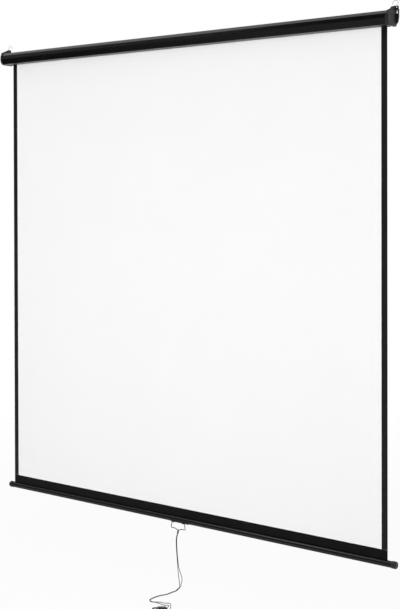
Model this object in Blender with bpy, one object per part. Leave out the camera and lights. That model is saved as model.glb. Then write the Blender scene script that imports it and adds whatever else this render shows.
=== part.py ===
"""Manual pull-down projection screen on a spring roller, drawn fully out.

Metres, +Z up, front towards -Y. X runs along the case, X = 0 at the middle of the fabric.
Y = 0 is the flat back of the case, and Z = 0 its middle height.
"""

import math

import bmesh
import bpy
from mathutils import Matrix, Vector

# Fabric
fabric_width = 2.030
side_border = 0.0257
white_height = 1.980
leader_drop = 0.0374
fabric_thickness = 0.0005
safety_wraps = 3
wrap_pitch = 0.00035

# Case section, a bent sheet
case_height = 0.055
case_depth = 0.0695
sheet = 0.0008
bend_radius = 0.0018
chamfer = 0.0125
crease_drop = 0.0015
facet_lean = 0.0015
underside_setback = 0.0020
rear_chamfer = 0.0050
slot_width = 0.013
slot_to_back = 0.0085
slot_lip = 0.006

# End caps
cap_reach = 0.033
cap_rim_depth = 0.0126
cap_wall = 0.0016
cap_end_wall = 0.003
cap_edge_round = 0.003
face_corner_share = 0.84
rim_corner_share = 0.45
plate_thickness = 0.0065
tab_thickness = 0.0025
right_tab_inboard = 0.0255
left_tab_inboard = 0.0060
ear_reach = 0.010
plate_top = 0.0490
tab_foot = 0.0365
plate_foot = -0.019
ear_taper = 0.034
tab_corner = 0.008
ear_corner = 0.003
web_nose = 0.0640
web_nose_top = 0.0285
web_peak = 0.0160
web_top = 0.0485
web_foot = 0.0100
hook_reach = 0.002
hook_hole_radius = 0.00275
hook_hole_height = 0.0440
keyhole_radius = 0.0042
keyhole_height = 0.0235
keyhole_slot_width = 0.0046
keyhole_slot_length = 0.0085
keyhole_reach = 0.0030
boss_radius = 0.0085
boss_length = 0.012
bush_radius = 0.0058

# Cap screws
screw_radius = 0.0015
screw_head_radius = 0.0033
screw_head_height = 0.0021
screw_length = 0.0075
screw_inset = 0.0078
screw_from_back = 0.0295

# S-hooks
hook_wire = 0.0025
hook_lower_radius = 0.0035
hook_upper_radius = 0.0115
hook_shank_lean = 0.006
hook_height = 0.0215

# Roller
roller_radius = 0.019
roller_wall = 0.0009
roller_overhang = 0.004
plug_length = 0.022
plug_flange = 0.002
pin_radius = 0.004
ratchet_radius = 0.0105
ratchet_length = 0.007
notch_depth = 0.0028
notch_width = 0.0036
pawl_length = 0.0085
pawl_eye_radius = 0.0022
pawl_arm = 0.0018
pawl_nose = 0.00105
pawl_width = 0.0050
pawl_pin_radius = 0.0012
pawl_count = 2

# Roller spring
spring_radius = 0.0105
spring_wire = 0.0022
spring_turns = 20
spring_length = 0.110
spring_from_end = 0.045
collar_length = 0.010
collar_radius = 0.0095
anchor_length = 0.014
shaft_flat = 0.0034

# Weight bar
bar_radius = 0.0127
bar_wall = 0.0014
bar_slot = 0.0030
bar_overhang = 0.0210
bar_shift = 0.005
bar_cap_radius = 0.014
bar_cap_length = 0.020
bar_cap_lap = 0.0065
bar_cap_round = 0.005
hem_rod_radius = 0.003

# Pull clip, bail and cord
handle_x = 0.010
clip_length = 0.092
clip_thickness = 0.0020
clip_sweep = 105.0
clip_screw_inset = 0.008
clip_screw_radius = 0.0014
clip_screw_head = 0.0028
clip_screw_length = 0.0055
clip_lead = 20.0
ear_span = 0.052
ear_length = 0.006
ear_radius = 0.0036
ear_angle = 34.0
bail_wire = 0.0032
bail_width = 0.081
bail_drop = 0.0270
bail_notch_drop = 0.0345
bail_notch_width = 0.030
bail_shoulder = 0.005
bail_bend = 0.0045
cord_diameter = 0.0028
strand_gap = 0.0010
floor_level = -2.3405
hank_centre = (0.1410, -0.2939)
hank_heading = math.radians(37.7)
hank_run = 0.042
hank_fold = 0.0084
hank_pitch = 0.0033
hank_layers = 4
wrap_turns = 7
wrap_pitch_along = 0.0046
wrap_bend = 0.0057
wrap_start = -0.0186
wrap_climb = 0.0094
wrap_end_inset = 0.0060
route_step = 0.0078

# Clearances
gap = 0.0003
running_gap = 0.0004
pull_clearance = 0.0006

# Places worked out from the sizes
fabric_half = fabric_width / 2
cap_face = fabric_half + cap_reach
cap_inner_face = cap_face - cap_end_wall
case_half = cap_inner_face - gap
half_height = case_height / 2
slot_back = -slot_to_back
slot_front = slot_back - slot_width
fabric_y = (slot_back + slot_front) / 2
wound_radius = roller_radius + gap + safety_wraps * wrap_pitch
roller_y = fabric_y - fabric_thickness / 2 - gap - wound_radius
roller_half = fabric_half + roller_overhang
white_bottom = -half_height - white_height
bar_z = white_bottom - leader_drop - bar_radius
fabric_top = 0.008
screen_travel = -half_height - cap_wall - pull_clearance - (bar_z + bar_cap_radius)
bar_half = fabric_half + bar_overhang
tab_y = -plate_thickness + tab_thickness / 2
ear_reach_radius = bar_radius + clip_thickness + bail_wire / 2 + 2.5 * gap
ear_y = fabric_y - ear_reach_radius * math.cos(math.radians(ear_angle))
ear_z = bar_z - ear_reach_radius * math.sin(math.radians(ear_angle))
knot_z = ear_z - bail_notch_drop
strand_pitch = cord_diameter + strand_gap
cord_floor = floor_level + cord_diameter / 2
wrap_seat = (cord_diameter + 1.5 * gap + (math.sqrt(2) - 1) * wrap_bend) / math.sqrt(2)


def clear_scene():
    """Empty the scene without closing the file."""
    for obj in list(bpy.data.objects):
        bpy.data.objects.remove(obj, do_unlink=True)


def material(name, colour, roughness, metallic=0.0):
    """A plain Principled material, made once."""
    found = bpy.data.materials.get(name)
    if found:
        return found
    made = bpy.data.materials.new(name)
    made.use_nodes = True
    shader = made.node_tree.nodes["Principled BSDF"]
    shader.inputs["Base Color"].default_value = (*colour, 1.0)
    shader.inputs["Roughness"].default_value = roughness
    shader.inputs["Metallic"].default_value = metallic
    return made


def black_enamel():
    return material("black_enamel", (0.012, 0.012, 0.014), 0.18)


def black_plastic():
    return material("black_plastic", (0.030, 0.030, 0.033), 0.42)


def white_fabric():
    return material("white_fabric", (0.90, 0.90, 0.90), 0.85)


def black_fabric():
    return material("black_fabric", (0.022, 0.022, 0.025), 0.75)


def zinc():
    return material("zinc", (0.62, 0.63, 0.65), 0.35, 1.0)


def steel():
    return material("steel", (0.50, 0.50, 0.52), 0.40, 1.0)


def nylon():
    return material("nylon", (0.80, 0.79, 0.74), 0.50)


def black_wire():
    return material("black_wire", (0.030, 0.030, 0.032), 0.30, 0.6)


def black_cord():
    return material("black_cord", (0.020, 0.020, 0.022), 0.80)


def place(name, mesh, finish, smooth_angle=None, location=(0.0, 0.0, 0.0)):
    """Link a mesh as a finished object."""
    mesh.materials.append(finish)
    if smooth_angle:
        mesh.shade_smooth()
        mesh.set_sharp_from_angle(angle=math.radians(smooth_angle))
    obj = bpy.data.objects.new(name, mesh)
    obj.location = location
    bpy.context.scene.collection.objects.link(obj)
    return obj


def to_mesh(name, bm):
    """Close a bmesh into a mesh with its faces pointing out."""
    bmesh.ops.recalc_face_normals(bm, faces=bm.faces)
    mesh = bpy.data.meshes.new(name)
    bm.to_mesh(mesh)
    bm.free()
    return mesh


def prism(name, outline, axis, start, end):
    """A mesh of an outline pushed from start to end along X or Y.

    Along X the outline holds (y, z) pairs, along Y it holds (x, z) pairs.
    """
    bm = bmesh.new()
    if axis == "X":
        corners = [bm.verts.new((start, a, b)) for a, b in outline]
        push = (end - start, 0.0, 0.0)
    else:
        corners = [bm.verts.new((a, start, b)) for a, b in outline]
        push = (0.0, end - start, 0.0)
    face = bm.faces.new(corners)
    grown = bmesh.ops.extrude_face_region(bm, geom=[face])
    moved = [item for item in grown["geom"] if isinstance(item, bmesh.types.BMVert)]
    bmesh.ops.translate(bm, verts=moved, vec=push)
    return to_mesh(name, bm)


def turned(name, profile, segments, y=0.0, z=0.0):
    """A mesh turned about the X axis through (y, z) from (x, radius) pairs.

    A profile that starts and ends on the axis is a solid, and any other is a closed ring.
    """
    bm = bmesh.new()
    points = [bm.verts.new((x, 0.0, radius)) for x, radius in profile]
    edges = [bm.edges.new(pair) for pair in zip(points, points[1:])]
    if profile[0][1] > 0:
        edges.append(bm.edges.new((points[-1], points[0])))
    bmesh.ops.spin(
        bm,
        geom=points + edges,
        cent=(0.0, 0.0, 0.0),
        axis=(1.0, 0.0, 0.0),
        angle=math.tau,
        steps=segments,
        use_duplicate=False,
    )
    bmesh.ops.remove_doubles(bm, verts=bm.verts, dist=1e-6)
    bmesh.ops.translate(bm, verts=bm.verts, vec=(0.0, y, z))
    return to_mesh(name, bm)


def drum(start, end, radius, bore=0.0):
    """The profile of a plain cylinder, or of a ring where bore is set."""
    if bore:
        return [(start, bore), (start, radius), (end, radius), (end, bore)]
    return [(start, 0.0), (start, radius), (end, radius), (end, 0.0)]


def cylinder(name, start, end, radius, segments=24):
    """A mesh of a cylinder between two points."""
    along = Vector(end) - Vector(start)
    bm = bmesh.new()
    bmesh.ops.create_cone(
        bm, cap_ends=True, segments=segments, radius1=radius, radius2=radius, depth=along.length
    )
    turn = Vector((0.0, 0.0, 1.0)).rotation_difference(along).to_matrix().to_4x4()
    middle = Matrix.Translation((Vector(start) + Vector(end)) / 2)
    bmesh.ops.transform(bm, verts=bm.verts, matrix=middle @ turn)
    return to_mesh(name, bm)


def helper(name, mesh):
    """A cutter or a filler for a Boolean, left out of the model."""
    obj = bpy.data.objects.new(name, mesh)
    bpy.context.scene.collection.objects.link(obj)
    obj.hide_render = True
    obj.display_type = "WIRE"
    return obj


def combine(obj, other_mesh, operation):
    """Cut from an object, or join to it, a helper made of another mesh."""
    modifier = obj.modifiers.new(other_mesh.name, "BOOLEAN")
    modifier.operation = operation
    modifier.solver = "EXACT"
    modifier.object = helper(f"helper_{other_mesh.name}", other_mesh)
    return modifier


def wire(name, points, diameter, finish, resolution=2):
    """A round wire or cord along points, closed at both ends."""
    curve = bpy.data.curves.new(name, "CURVE")
    curve.dimensions = "3D"
    curve.bevel_depth = diameter / 2
    curve.bevel_resolution = resolution
    curve.use_fill_caps = True
    spline = curve.splines.new("POLY")
    spline.points.add(len(points) - 1)
    for slot, point in zip(spline.points, points):
        slot.co = (*point, 1.0)
    curve.materials.append(finish)
    obj = bpy.data.objects.new(name, curve)
    bpy.context.scene.collection.objects.link(obj)
    return obj


def arc(centre, radius, start, end, steps):
    """Points on an arc in a plane, in degrees anticlockwise from the first axis."""
    turns = [math.radians(start + (end - start) * i / steps) for i in range(steps + 1)]
    return [(centre[0] + radius * math.cos(t), centre[1] + radius * math.sin(t)) for t in turns]


def rounded(corners, radius, steps=3):
    """A path in a plane with its inner corners rounded to a radius, ends left as they are."""
    path = [Vector(corners[0])]
    for before, corner, after in zip(corners, corners[1:], corners[2:]):
        corner = Vector(corner)
        back = (Vector(before) - corner).normalized()
        ahead = (Vector(after) - corner).normalized()
        half = back.angle(ahead) / 2
        if half > math.radians(80):
            path.append(corner)
            continue
        reach = radius / math.tan(half)
        centre = corner + (back + ahead).normalized() * radius / math.sin(half)
        spoke = corner + back * reach - centre
        sweep = math.pi - 2 * half
        if back.cross(ahead) > 0:
            sweep = -sweep
        for i in range(steps + 1):
            path.append(centre + Matrix.Rotation(sweep * i / steps, 2) @ spoke)
    path.append(Vector(corners[-1]))
    return path


def thickened(path, thickness):
    """The closed outline of a strip of even thickness whose middle runs along a path."""
    sides = ([], [])
    for i, point in enumerate(path):
        along = []
        if i > 0:
            along.append((point - path[i - 1]).normalized())
        if i < len(path) - 1:
            along.append((path[i + 1] - point).normalized())
        mean = sum(along, Vector((0.0, 0.0))).normalized()
        normal = Vector((-mean.y, mean.x))
        reach = thickness / 2 / mean.dot(along[0])
        sides[0].append(point + normal * reach)
        sides[1].append(point - normal * reach)
    return [tuple(p) for p in sides[0] + sides[1][::-1]]


def case_corners(grow=0.0, back=0.0):
    """Corners of the case section grown all round but at its flat back, front lip first."""
    front = -case_depth - grow
    top = half_height + grow
    bottom = -half_height - grow
    slope = grow * (math.sqrt(2) - 1)
    return [
        (slot_front, bottom),
        (front + underside_setback, bottom),
        (front, -crease_drop),
        (front + facet_lean, half_height - chamfer + slope),
        (-case_depth + facet_lean + chamfer - slope, top),
        (back, top),
        (back, back - half_height + rear_chamfer - grow * math.sqrt(2)),
        (slope - rear_chamfer, bottom),
    ]


def make_casing():
    """The bent sheet case, with its slot lips turned up and a screw hole near each end."""
    inset = sheet / 2
    corners = case_corners(-inset, -inset)
    lip_top = -half_height + slot_lip
    front_lip = [(slot_front + inset, lip_top), (slot_front + inset, -half_height + inset)]
    rear_lip = [(slot_back + inset, -half_height + inset), (slot_back + inset, lip_top)]
    path = rounded(front_lip + corners[1:7] + rear_lip, bend_radius)
    mesh = prism("casing", thickened(path, sheet), "X", -case_half, case_half)
    casing = place("casing", mesh, black_enamel(), 30)
    for side in (-1, 1):
        for up in (-1, 1):
            spot = screw_spot(side, up)
            start = spot - Vector((0.0, 0.0, up * 0.010))
            hole = cylinder(f"case_hole_{side}_{up}", start, spot, screw_radius + gap, 12)
            combine(casing, hole, "DIFFERENCE")
        corner = case_corner_waste()
        start = side * (cap_face - cap_rim_depth - gap)
        end = side * (case_half + 0.001)
        combine(casing, prism(f"case_corner_{side}", corner, "X", start, end), "DIFFERENCE")
    return casing


def case_corner_waste():
    """What is cut off the case's front lower corner inside a cap, outside the rounded section."""
    beyond = 0.002
    rounding = cap_section(0.0, face_corner_share)[:9]
    low = rounding[0][1] - beyond
    front = rounding[-1][0] - beyond
    return rounding + [(front, rounding[-1][1]), (front, low), (rounding[0][0], low)]


def screw_spot(side, up):
    """Where a cap screw's head meets the rim, over (up = 1) or under (up = -1) the case."""
    x = side * (cap_face - screw_inset)
    return Vector((x, -screw_from_back, up * (half_height + cap_wall)))


def make_cap_screw(name, side, up):
    """A domed screw through the cap's rim into the case."""
    spot = screw_spot(side, up)
    neck = gap
    profile = [(-screw_length, 0.0), (-screw_length, screw_radius * 0.5)]
    profile += [(-screw_length + screw_radius, screw_radius), (neck, screw_radius)]
    profile += [(neck, screw_head_radius), (neck + screw_head_height * 0.6, screw_head_radius * 0.85)]
    profile += [(neck + screw_head_height, screw_head_radius * 0.45), (neck + screw_head_height, 0.0)]
    mesh = turned(name, profile, 12)
    turn = Vector((1.0, 0.0, 0.0)).rotation_difference(Vector((0.0, 0.0, up))).to_matrix()
    mesh.transform(Matrix.Translation(spot) @ turn.to_4x4())
    return place(name, mesh, zinc(), 30)


def mirrored(outline, side):
    """An (x, z) outline for the right end, or its mirror image for the left."""
    return [(side * x, z) for x, z in outline]


def plate_outline(side):
    """The back plate of a cap: the hook tab over it and the ear outside it."""
    inboard = cap_face - (right_tab_inboard if side > 0 else left_tab_inboard)
    outboard = cap_face + ear_reach
    in_wall = cap_face - cap_end_wall / 2
    in_rim = half_height + cap_wall / 2
    outline = [(inboard, in_rim)]
    outline += arc((inboard + tab_corner, plate_top - tab_corner), tab_corner, 180, 90, 4)
    outline += arc((outboard - ear_corner, plate_top - ear_corner), ear_corner, 90, 0, 2)
    for i in range(1, 7):
        t = math.radians(90 * i / 6)
        drop = ear_taper * math.sin(t)
        outline.append((cap_face + ear_reach * math.cos(t), plate_foot + ear_taper - drop))
    outline.append((in_wall, plate_foot))
    outline.append((in_wall, in_rim))
    return outline


def web_outline():
    """The gusset in line with the end wall, from the cap's front up to the hook tab, as (y, z)."""
    back = -plate_thickness + 0.001
    nose = [(-web_peak, web_top), (-web_nose, web_nose_top), (-web_nose, web_foot)]
    return nose + [(back, web_foot), (back, web_top)]


def cap_section(grow, corner_share, back=0.0):
    """The case section grown, with its front lower corner rounded by a share of the facet."""
    corners = case_corners(grow, back)
    low_front, crease = corners[1], corners[2]
    radius = corner_share * (crease[1] - low_front[1])
    touch = crease[0] + (low_front[0] - crease[0]) * (1 - corner_share)
    centre = (touch + radius, low_front[1] + radius)
    return arc(centre, radius, 270, 180, 8) + corners[2:]


def lofted(name, rings):
    """A mesh through (x, outline) rings with as many points each, closed at both ends."""
    bm = bmesh.new()
    loops = [[bm.verts.new((x, y, z)) for y, z in outline] for x, outline in rings]
    bm.faces.new(loops[0])
    bm.faces.new(loops[-1])
    for here, there in zip(loops, loops[1:]):
        for i in range(len(here)):
            j = (i + 1) % len(here)
            bm.faces.new((here[i], here[j], there[j]))
            bm.faces.new((here[i], there[j], there[i]))
    return to_mesh(name, bm)


def cap_rings(side):
    """Rings from the rim's edge to the end face, the corner growing and the edge turning in."""
    depth = cap_rim_depth - cap_edge_round
    rings = []
    for i in range(4):
        t = i / 4
        share = rim_corner_share + (face_corner_share - rim_corner_share) * math.sin(t * math.pi / 2)
        rings.append((side * (cap_face - cap_rim_depth + depth * t), cap_section(cap_wall, share)))
    for i in range(5):
        t = math.radians(90 * i / 4)
        x = cap_face - cap_edge_round * (1 - math.sin(t))
        turned_in = cap_edge_round * (1 - math.cos(t))
        rings.append((side * x, cap_section(cap_wall - turned_in, face_corner_share)))
    return rings


def make_end_cap(name, side):
    """A moulded cup over the case end, with its boss, back plate, hook tab and keyhole ear."""
    cap = place(name, lofted(f"{name}_body", cap_rings(side)), black_plastic(), 35)
    pocket_in = side * (cap_face - cap_rim_depth - 0.002)
    section = cap_section(gap, face_corner_share, 0.001)
    pocket = prism(f"{name}_pocket", section, "X", pocket_in, side * cap_inner_face)
    combine(cap, pocket, "DIFFERENCE")
    plate = prism(f"{name}_plate", mirrored(plate_outline(side), side), "Y", -plate_thickness, 0.0)
    combine(cap, plate, "UNION")
    web_in = side * (cap_inner_face + gap)
    web = prism(f"{name}_web", web_outline(), "X", web_in, side * (cap_face - gap))
    combine(cap, web, "UNION")
    boss_start = (side * (cap_inner_face - boss_length), roller_y, 0.0)
    boss_end = (side * (cap_inner_face + cap_end_wall / 2), roller_y, 0.0)
    combine(cap, cylinder(f"{name}_boss", boss_start, boss_end, boss_radius), "UNION")
    cut_end_cap(cap, name, side)
    return cap


def cut_end_cap(cap, name, side):
    """The cap's bush seat, screw holes, thinned tab, hook hole, keyhole and slot clearance."""
    seat_start = (side * (cap_inner_face - boss_length - 0.001), roller_y, 0.0)
    seat_end = (side * cap_inner_face, roller_y, 0.0)
    seat = cylinder(f"{name}_seat", seat_start, seat_end, bush_radius + gap)
    combine(cap, seat, "DIFFERENCE")
    for up in (-1, 1):
        spot = screw_spot(side, up)
        start = spot - Vector((0.0, 0.0, up * 0.006))
        end = spot + Vector((0.0, 0.0, up * 0.001))
        combine(cap, cylinder(f"{name}_hole_{up}", start, end, screw_radius + gap, 12), "DIFFERENCE")
    low = cap_face - right_tab_inboard - 0.002
    high = cap_face + ear_reach + 0.002
    thin = [(low, tab_foot), (high, tab_foot), (high, plate_top + 0.002), (low, plate_top + 0.002)]
    behind = -plate_thickness + tab_thickness
    tab = prism(f"{name}_tab_back", mirrored(thin, side), "Y", behind, 0.002)
    combine(cap, tab, "DIFFERENCE")
    hook_x = side * (cap_face + hook_reach)
    hole_start = (hook_x, -plate_thickness - 0.002, hook_hole_height)
    hole_end = (hook_x, behind + 0.002, hook_hole_height)
    combine(cap, cylinder(f"{name}_hook_hole", hole_start, hole_end, hook_hole_radius, 16), "DIFFERENCE")
    combine(cap, keyhole(f"{name}_keyhole", side), "DIFFERENCE")


def keyhole(name, side):
    """The keyhole through the ear: a round opening with a narrower slot over it."""
    x = cap_face + keyhole_reach
    half = keyhole_slot_width / 2
    meet = math.degrees(math.acos(half / keyhole_radius))
    outline = arc((x, keyhole_height), keyhole_radius, 180 - meet, 360 + meet, 12)
    slot_top = keyhole_height + keyhole_slot_length
    outline += arc((x, slot_top), half, 0, 180, 4)
    return prism(name, mirrored(outline, side), "Y", -plate_thickness - 0.002, 0.002)


def hook_pivot_z():
    """Height of the middle of the hook's lower bend, with its wire just under the hole's top."""
    inner = hook_lower_radius - hook_wire / 2
    seat = math.sqrt(inner**2 - (tab_thickness / 2) ** 2)
    return hook_hole_height + hook_hole_radius - gap + seat


def make_s_hook(name, side):
    """A galvanised hook with a quarter turn: its foot is in the tab's hole, its crook across it."""
    pivot_z = hook_pivot_z()
    points = [(0.0, y, z) for y, z in arc((0.0, 0.0), hook_lower_radius, 15, -180, 10)]
    crook_z = hook_height - hook_upper_radius
    for i in range(1, 7):
        t = i / 6
        ease = t * t * (3 - 2 * t)
        points.append((side * hook_shank_lean * ease, hook_lower_radius * (ease - 1), crook_z * t))
    crook = arc((hook_shank_lean - hook_upper_radius, crook_z), hook_upper_radius, 0, 200, 14)[1:]
    points += [(side * a, 0.0, b) for a, b in crook]
    hook = wire(name, points, hook_wire, zinc())
    hook.location = (side * (cap_face + hook_reach), tab_y, pivot_z)
    return hook


def make_roller():
    """The roller tube with its last wraps of fabric, the idle plug and its pin."""
    tube = turned(
        "roller_tube",
        drum(-roller_half, roller_half, roller_radius, roller_radius - roller_wall),
        40,
        roller_y,
    )
    place("roller_tube", tube, steel(), 30)
    wound = turned(
        "wound_fabric",
        drum(-fabric_half, fabric_half, wound_radius, roller_radius + gap),
        40,
        roller_y,
    )
    place("wound_fabric", wound, black_fabric(), 30)
    bore = roller_radius - roller_wall - gap
    inner = -roller_half + plug_length
    outer = -roller_half - gap
    profile = [(inner, pin_radius + gap), (inner, bore), (outer, bore), (outer, roller_radius)]
    profile += [(outer - plug_flange, roller_radius), (outer - plug_flange, pin_radius + gap)]
    place("idle_plug", turned("idle_plug", profile, 32, roller_y), nylon(), 30)
    pin = turned("idle_pin", drum(-cap_inner_face + gap, inner, pin_radius), 20, roller_y)
    place("idle_pin", pin, steel(), 30)
    bush = drum(
        -cap_inner_face + gap,
        -cap_inner_face + boss_length,
        bush_radius,
        pin_radius + running_gap,
    )
    place("idle_bush", turned("idle_bush", bush, 20, roller_y), nylon(), 30)


def make_end_plug():
    """The plug at the spring end, whose flange carries the pawls: returns the flange's face."""
    bore = roller_radius - roller_wall - gap
    inner = roller_half - plug_length
    outer = roller_half + gap
    hole = pin_radius + running_gap
    profile = [(inner, hole), (inner, bore), (outer, bore), (outer, roller_radius)]
    profile += [(outer + plug_flange, roller_radius), (outer + plug_flange, hole)]
    place("roller_end_plug", turned("roller_end_plug", profile, 32, roller_y), nylon(), 30)
    return outer + plug_flange


def make_ratchet(flange):
    """The fixed ratchet hub, its notches, and the pawls that drop into them."""
    start = flange + gap
    hub_profile = drum(start, start + ratchet_length, ratchet_radius, pin_radius + gap)
    hub = place("ratchet_hub", turned("ratchet_hub", hub_profile, 32, roller_y), zinc(), 30)
    for i in range(pawl_count):
        angle = math.tau * i / pawl_count
        notch = prism(
            f"notch_{i}",
            [
                (ratchet_radius - notch_depth, -notch_width / 2),
                (ratchet_radius + 0.002, -notch_width / 2),
                (ratchet_radius + 0.002, notch_width / 2),
                (ratchet_radius - notch_depth, notch_width / 2),
            ],
            "X",
            start - 0.001,
            start + ratchet_length + 0.001,
        )
        notch.transform(turn_about_roller(angle))
        combine(hub, notch, "DIFFERENCE")
        make_pawl(f"pawl_{'ab'[i]}", angle, start)
        pin = cylinder(
            f"pawl_pin_{'ab'[i]}",
            (flange + gap, pawl_pivot()[0], pawl_pivot()[1]),
            (start + pawl_width + 0.0012, pawl_pivot()[0], pawl_pivot()[1]),
            pawl_pin_radius,
            12,
        )
        pin.transform(turn_about_roller(angle))
        place(f"pawl_pin_{'ab'[i]}", pin, steel(), 30)


def turn_about_roller(angle):
    """A turn about the roller's axis, for shapes modelled with that axis at y = z = 0."""
    return Matrix.Translation((0.0, roller_y, 0.0)) @ Matrix.Rotation(angle, 4, "X")


def pawl_pivot():
    """The pawl's pivot as (y, z) from the roller's axis, ahead of its notch."""
    return (ratchet_radius + 0.0024, pawl_length)


def make_pawl(name, angle, start):
    """A lever with a round eye on its pin and a nose that clears the hub until it drops."""
    pivot = pawl_pivot()
    nose = ratchet_radius + 1.5 * gap
    inner = nose + pawl_nose
    outline = arc(pivot, pawl_eye_radius, -60, 200, 8)
    outline += [(inner, notch_width * 0.4), (nose, notch_width * 0.14)]
    outline += [(nose, -notch_width / 4), (inner + pawl_arm, -notch_width / 4)]
    low = start + gap
    mesh = prism(name, outline, "X", low, low + pawl_width)
    mesh.transform(Matrix.Translation((0.0, -pivot[0], -pivot[1])))
    offset = Vector((0.0, *pivot))
    centre = turn_about_roller(angle) @ offset
    mesh.transform(Matrix.Rotation(angle, 4, "X"))
    pawl = place(name, mesh, zinc(), 30, centre)
    eye_hole = cylinder(
        f"{name}_eye",
        centre + Vector((low - 0.001, 0.0, 0.0)),
        centre + Vector((low + pawl_width + 0.001, 0.0, 0.0)),
        pawl_pin_radius + gap,
        12,
    )
    combine(pawl, eye_hole, "DIFFERENCE")
    return pawl


def make_spring_group():
    """The fixed shaft with its collar, the spring round it and the plug that the spring turns."""
    collar_end = roller_half - spring_from_end
    spring_end = collar_end - collar_length - gap
    anchor_end = spring_end - spring_length - gap
    anchor_start = anchor_end - anchor_length
    shaft_end = cap_inner_face - gap
    flat_start = cap_inner_face - boss_length - 0.002
    shaft_profile = drum(anchor_start + 0.004, shaft_end, pin_radius)
    shaft = place("spring_shaft", turned("spring_shaft", shaft_profile, 20, roller_y), steel(), 30)
    for up in (-1, 1):
        flat = [
            (roller_y - 0.006, up * shaft_flat / 2),
            (roller_y + 0.006, up * shaft_flat / 2),
            (roller_y + 0.006, up * 0.006),
            (roller_y - 0.006, up * 0.006),
        ]
        combine(shaft, prism(f"shaft_flat_{up}", flat, "X", flat_start, shaft_end + 0.001), "DIFFERENCE")
    holder_profile = drum(cap_inner_face - boss_length, cap_inner_face - gap, bush_radius)
    holder = place("shaft_holder", turned("shaft_holder", holder_profile, 20, roller_y), steel(), 30)
    half = shaft_flat / 2 + gap
    slot = [(roller_y - 0.0046, -half), (roller_y + 0.0046, -half)]
    slot += [(roller_y + 0.0046, half), (roller_y - 0.0046, half)]
    slot_mesh = prism("holder_slot", slot, "X", cap_inner_face - boss_length - 0.001, shaft_end + 0.002)
    combine(holder, slot_mesh, "DIFFERENCE")
    collar_profile = drum(collar_end - collar_length, collar_end, collar_radius, pin_radius + gap)
    place("spring_collar", turned("spring_collar", collar_profile, 24, roller_y), zinc(), 30)
    bore = roller_radius - roller_wall - gap
    anchor_profile = drum(anchor_start, anchor_end, bore, pin_radius + running_gap)
    place("spring_anchor_plug", turned("spring_anchor_plug", anchor_profile, 32, roller_y), nylon(), 30)
    points = []
    steps = spring_turns * 10
    clear = spring_wire / 2
    run = spring_length - 2 * clear
    for i in range(steps + 1):
        turn = math.tau * spring_turns * i / steps
        x = spring_end - clear - run * i / steps
        points.append((x, roller_y + spring_radius * math.cos(turn), spring_radius * math.sin(turn)))
    wire("roller_spring", points, spring_wire, steel(), 1)


def make_viewing_fabric():
    """The white sheet with its black side borders, from the roller down to the leader."""
    bm = bmesh.new()
    xs = [-fabric_half, -fabric_half + side_border, fabric_half - side_border, fabric_half]
    front = fabric_y - fabric_thickness / 2
    back = fabric_y + fabric_thickness / 2
    ends = (fabric_top, white_bottom + gap / 2)
    rows = [[bm.verts.new((x, y, z)) for x in xs] for y in (front, back) for z in ends]
    front_top, front_bottom, back_top, back_bottom = rows
    for i in range(3):
        slot = 0 if i == 1 else 1
        faces = [
            (front_bottom[i], front_bottom[i + 1], front_top[i + 1], front_top[i]),
            (back_top[i], back_top[i + 1], back_bottom[i + 1], back_bottom[i]),
            (front_top[i], front_top[i + 1], back_top[i + 1], back_top[i]),
            (back_bottom[i], back_bottom[i + 1], front_bottom[i + 1], front_bottom[i]),
        ]
        for corners in faces:
            bm.faces.new(corners).material_index = slot
    for i in (0, 3):
        side = bm.faces.new((front_top[i], back_top[i], back_bottom[i], front_bottom[i]))
        side.material_index = 1
    mesh = to_mesh("viewing_fabric", bm)
    fabric = place("viewing_fabric", mesh, white_fabric())
    mesh.materials.append(black_fabric())
    return fabric


def rod_z():
    """Height of the hem rod, hung under the bar's slot."""
    return bar_z + bar_radius - bar_wall - hem_rod_radius - fabric_thickness - 2 * gap


def make_leader():
    """The black drop: it passes the bar's slot and its hem goes round the rod."""
    loop = hem_rod_radius + gap + fabric_thickness / 2
    centre = (fabric_y, rod_z())
    top = white_bottom - gap / 2
    path = [Vector((fabric_y, top)), Vector((fabric_y, rod_z() + loop + 0.0006))]
    path += [Vector(p) for p in arc(centre, loop, 75, -215, 16)]
    outline = thickened(path, fabric_thickness)
    mesh = prism("bottom_leader", outline, "X", -fabric_half, fabric_half)
    return place("bottom_leader", mesh, black_fabric(), 40)


def make_weight_bar():
    """The slotted round tube, the rod in the hem and the two end caps."""
    middle = bar_radius - bar_wall / 2
    opening = math.degrees(math.asin((bar_slot / 2 + bar_wall / 2) / middle))
    path = [Vector(p) for p in arc((fabric_y, bar_z), middle, 90 + opening, 450 - opening, 36)]
    start = bar_shift - bar_half
    end = bar_shift + bar_half
    mesh = prism("weight_bar", thickened(path, bar_wall), "X", start, end)
    bar = place("weight_bar", mesh, black_enamel(), 30)
    rod = turned(
        "hem_rod", drum(-fabric_half, fabric_half, hem_rod_radius), 16, fabric_y, rod_z()
    )
    place("hem_rod", rod, steel(), 30)
    for name, side in (("left_bar_cap", -1), ("right_bar_cap", 1)):
        tube_end = bar_shift + side * bar_half
        lip = tube_end - side * bar_cap_lap
        face = tube_end + side * gap
        outer = lip + side * bar_cap_length
        profile = [(face, 0.0), (face, bar_radius + gap), (lip, bar_radius + gap)]
        profile.append((lip, bar_cap_radius))
        for a, r in arc((0.0, 0.0), bar_cap_round, 90, 0, 4):
            profile.append((outer - side * (bar_cap_round - a), bar_cap_radius - bar_cap_round + r))
        profile.append((outer, 0.0))
        place(name, turned(name, profile, 28, fabric_y, bar_z), black_plastic(), 30)
    return bar


def clip_point(angle, radius):
    """A point round the bar, in degrees below its front."""
    t = math.radians(angle)
    return Vector((fabric_y - radius * math.cos(t), bar_z - radius * math.sin(t)))


def clip_screw_x(side):
    return handle_x + side * (clip_length / 2 - clip_screw_inset)


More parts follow.
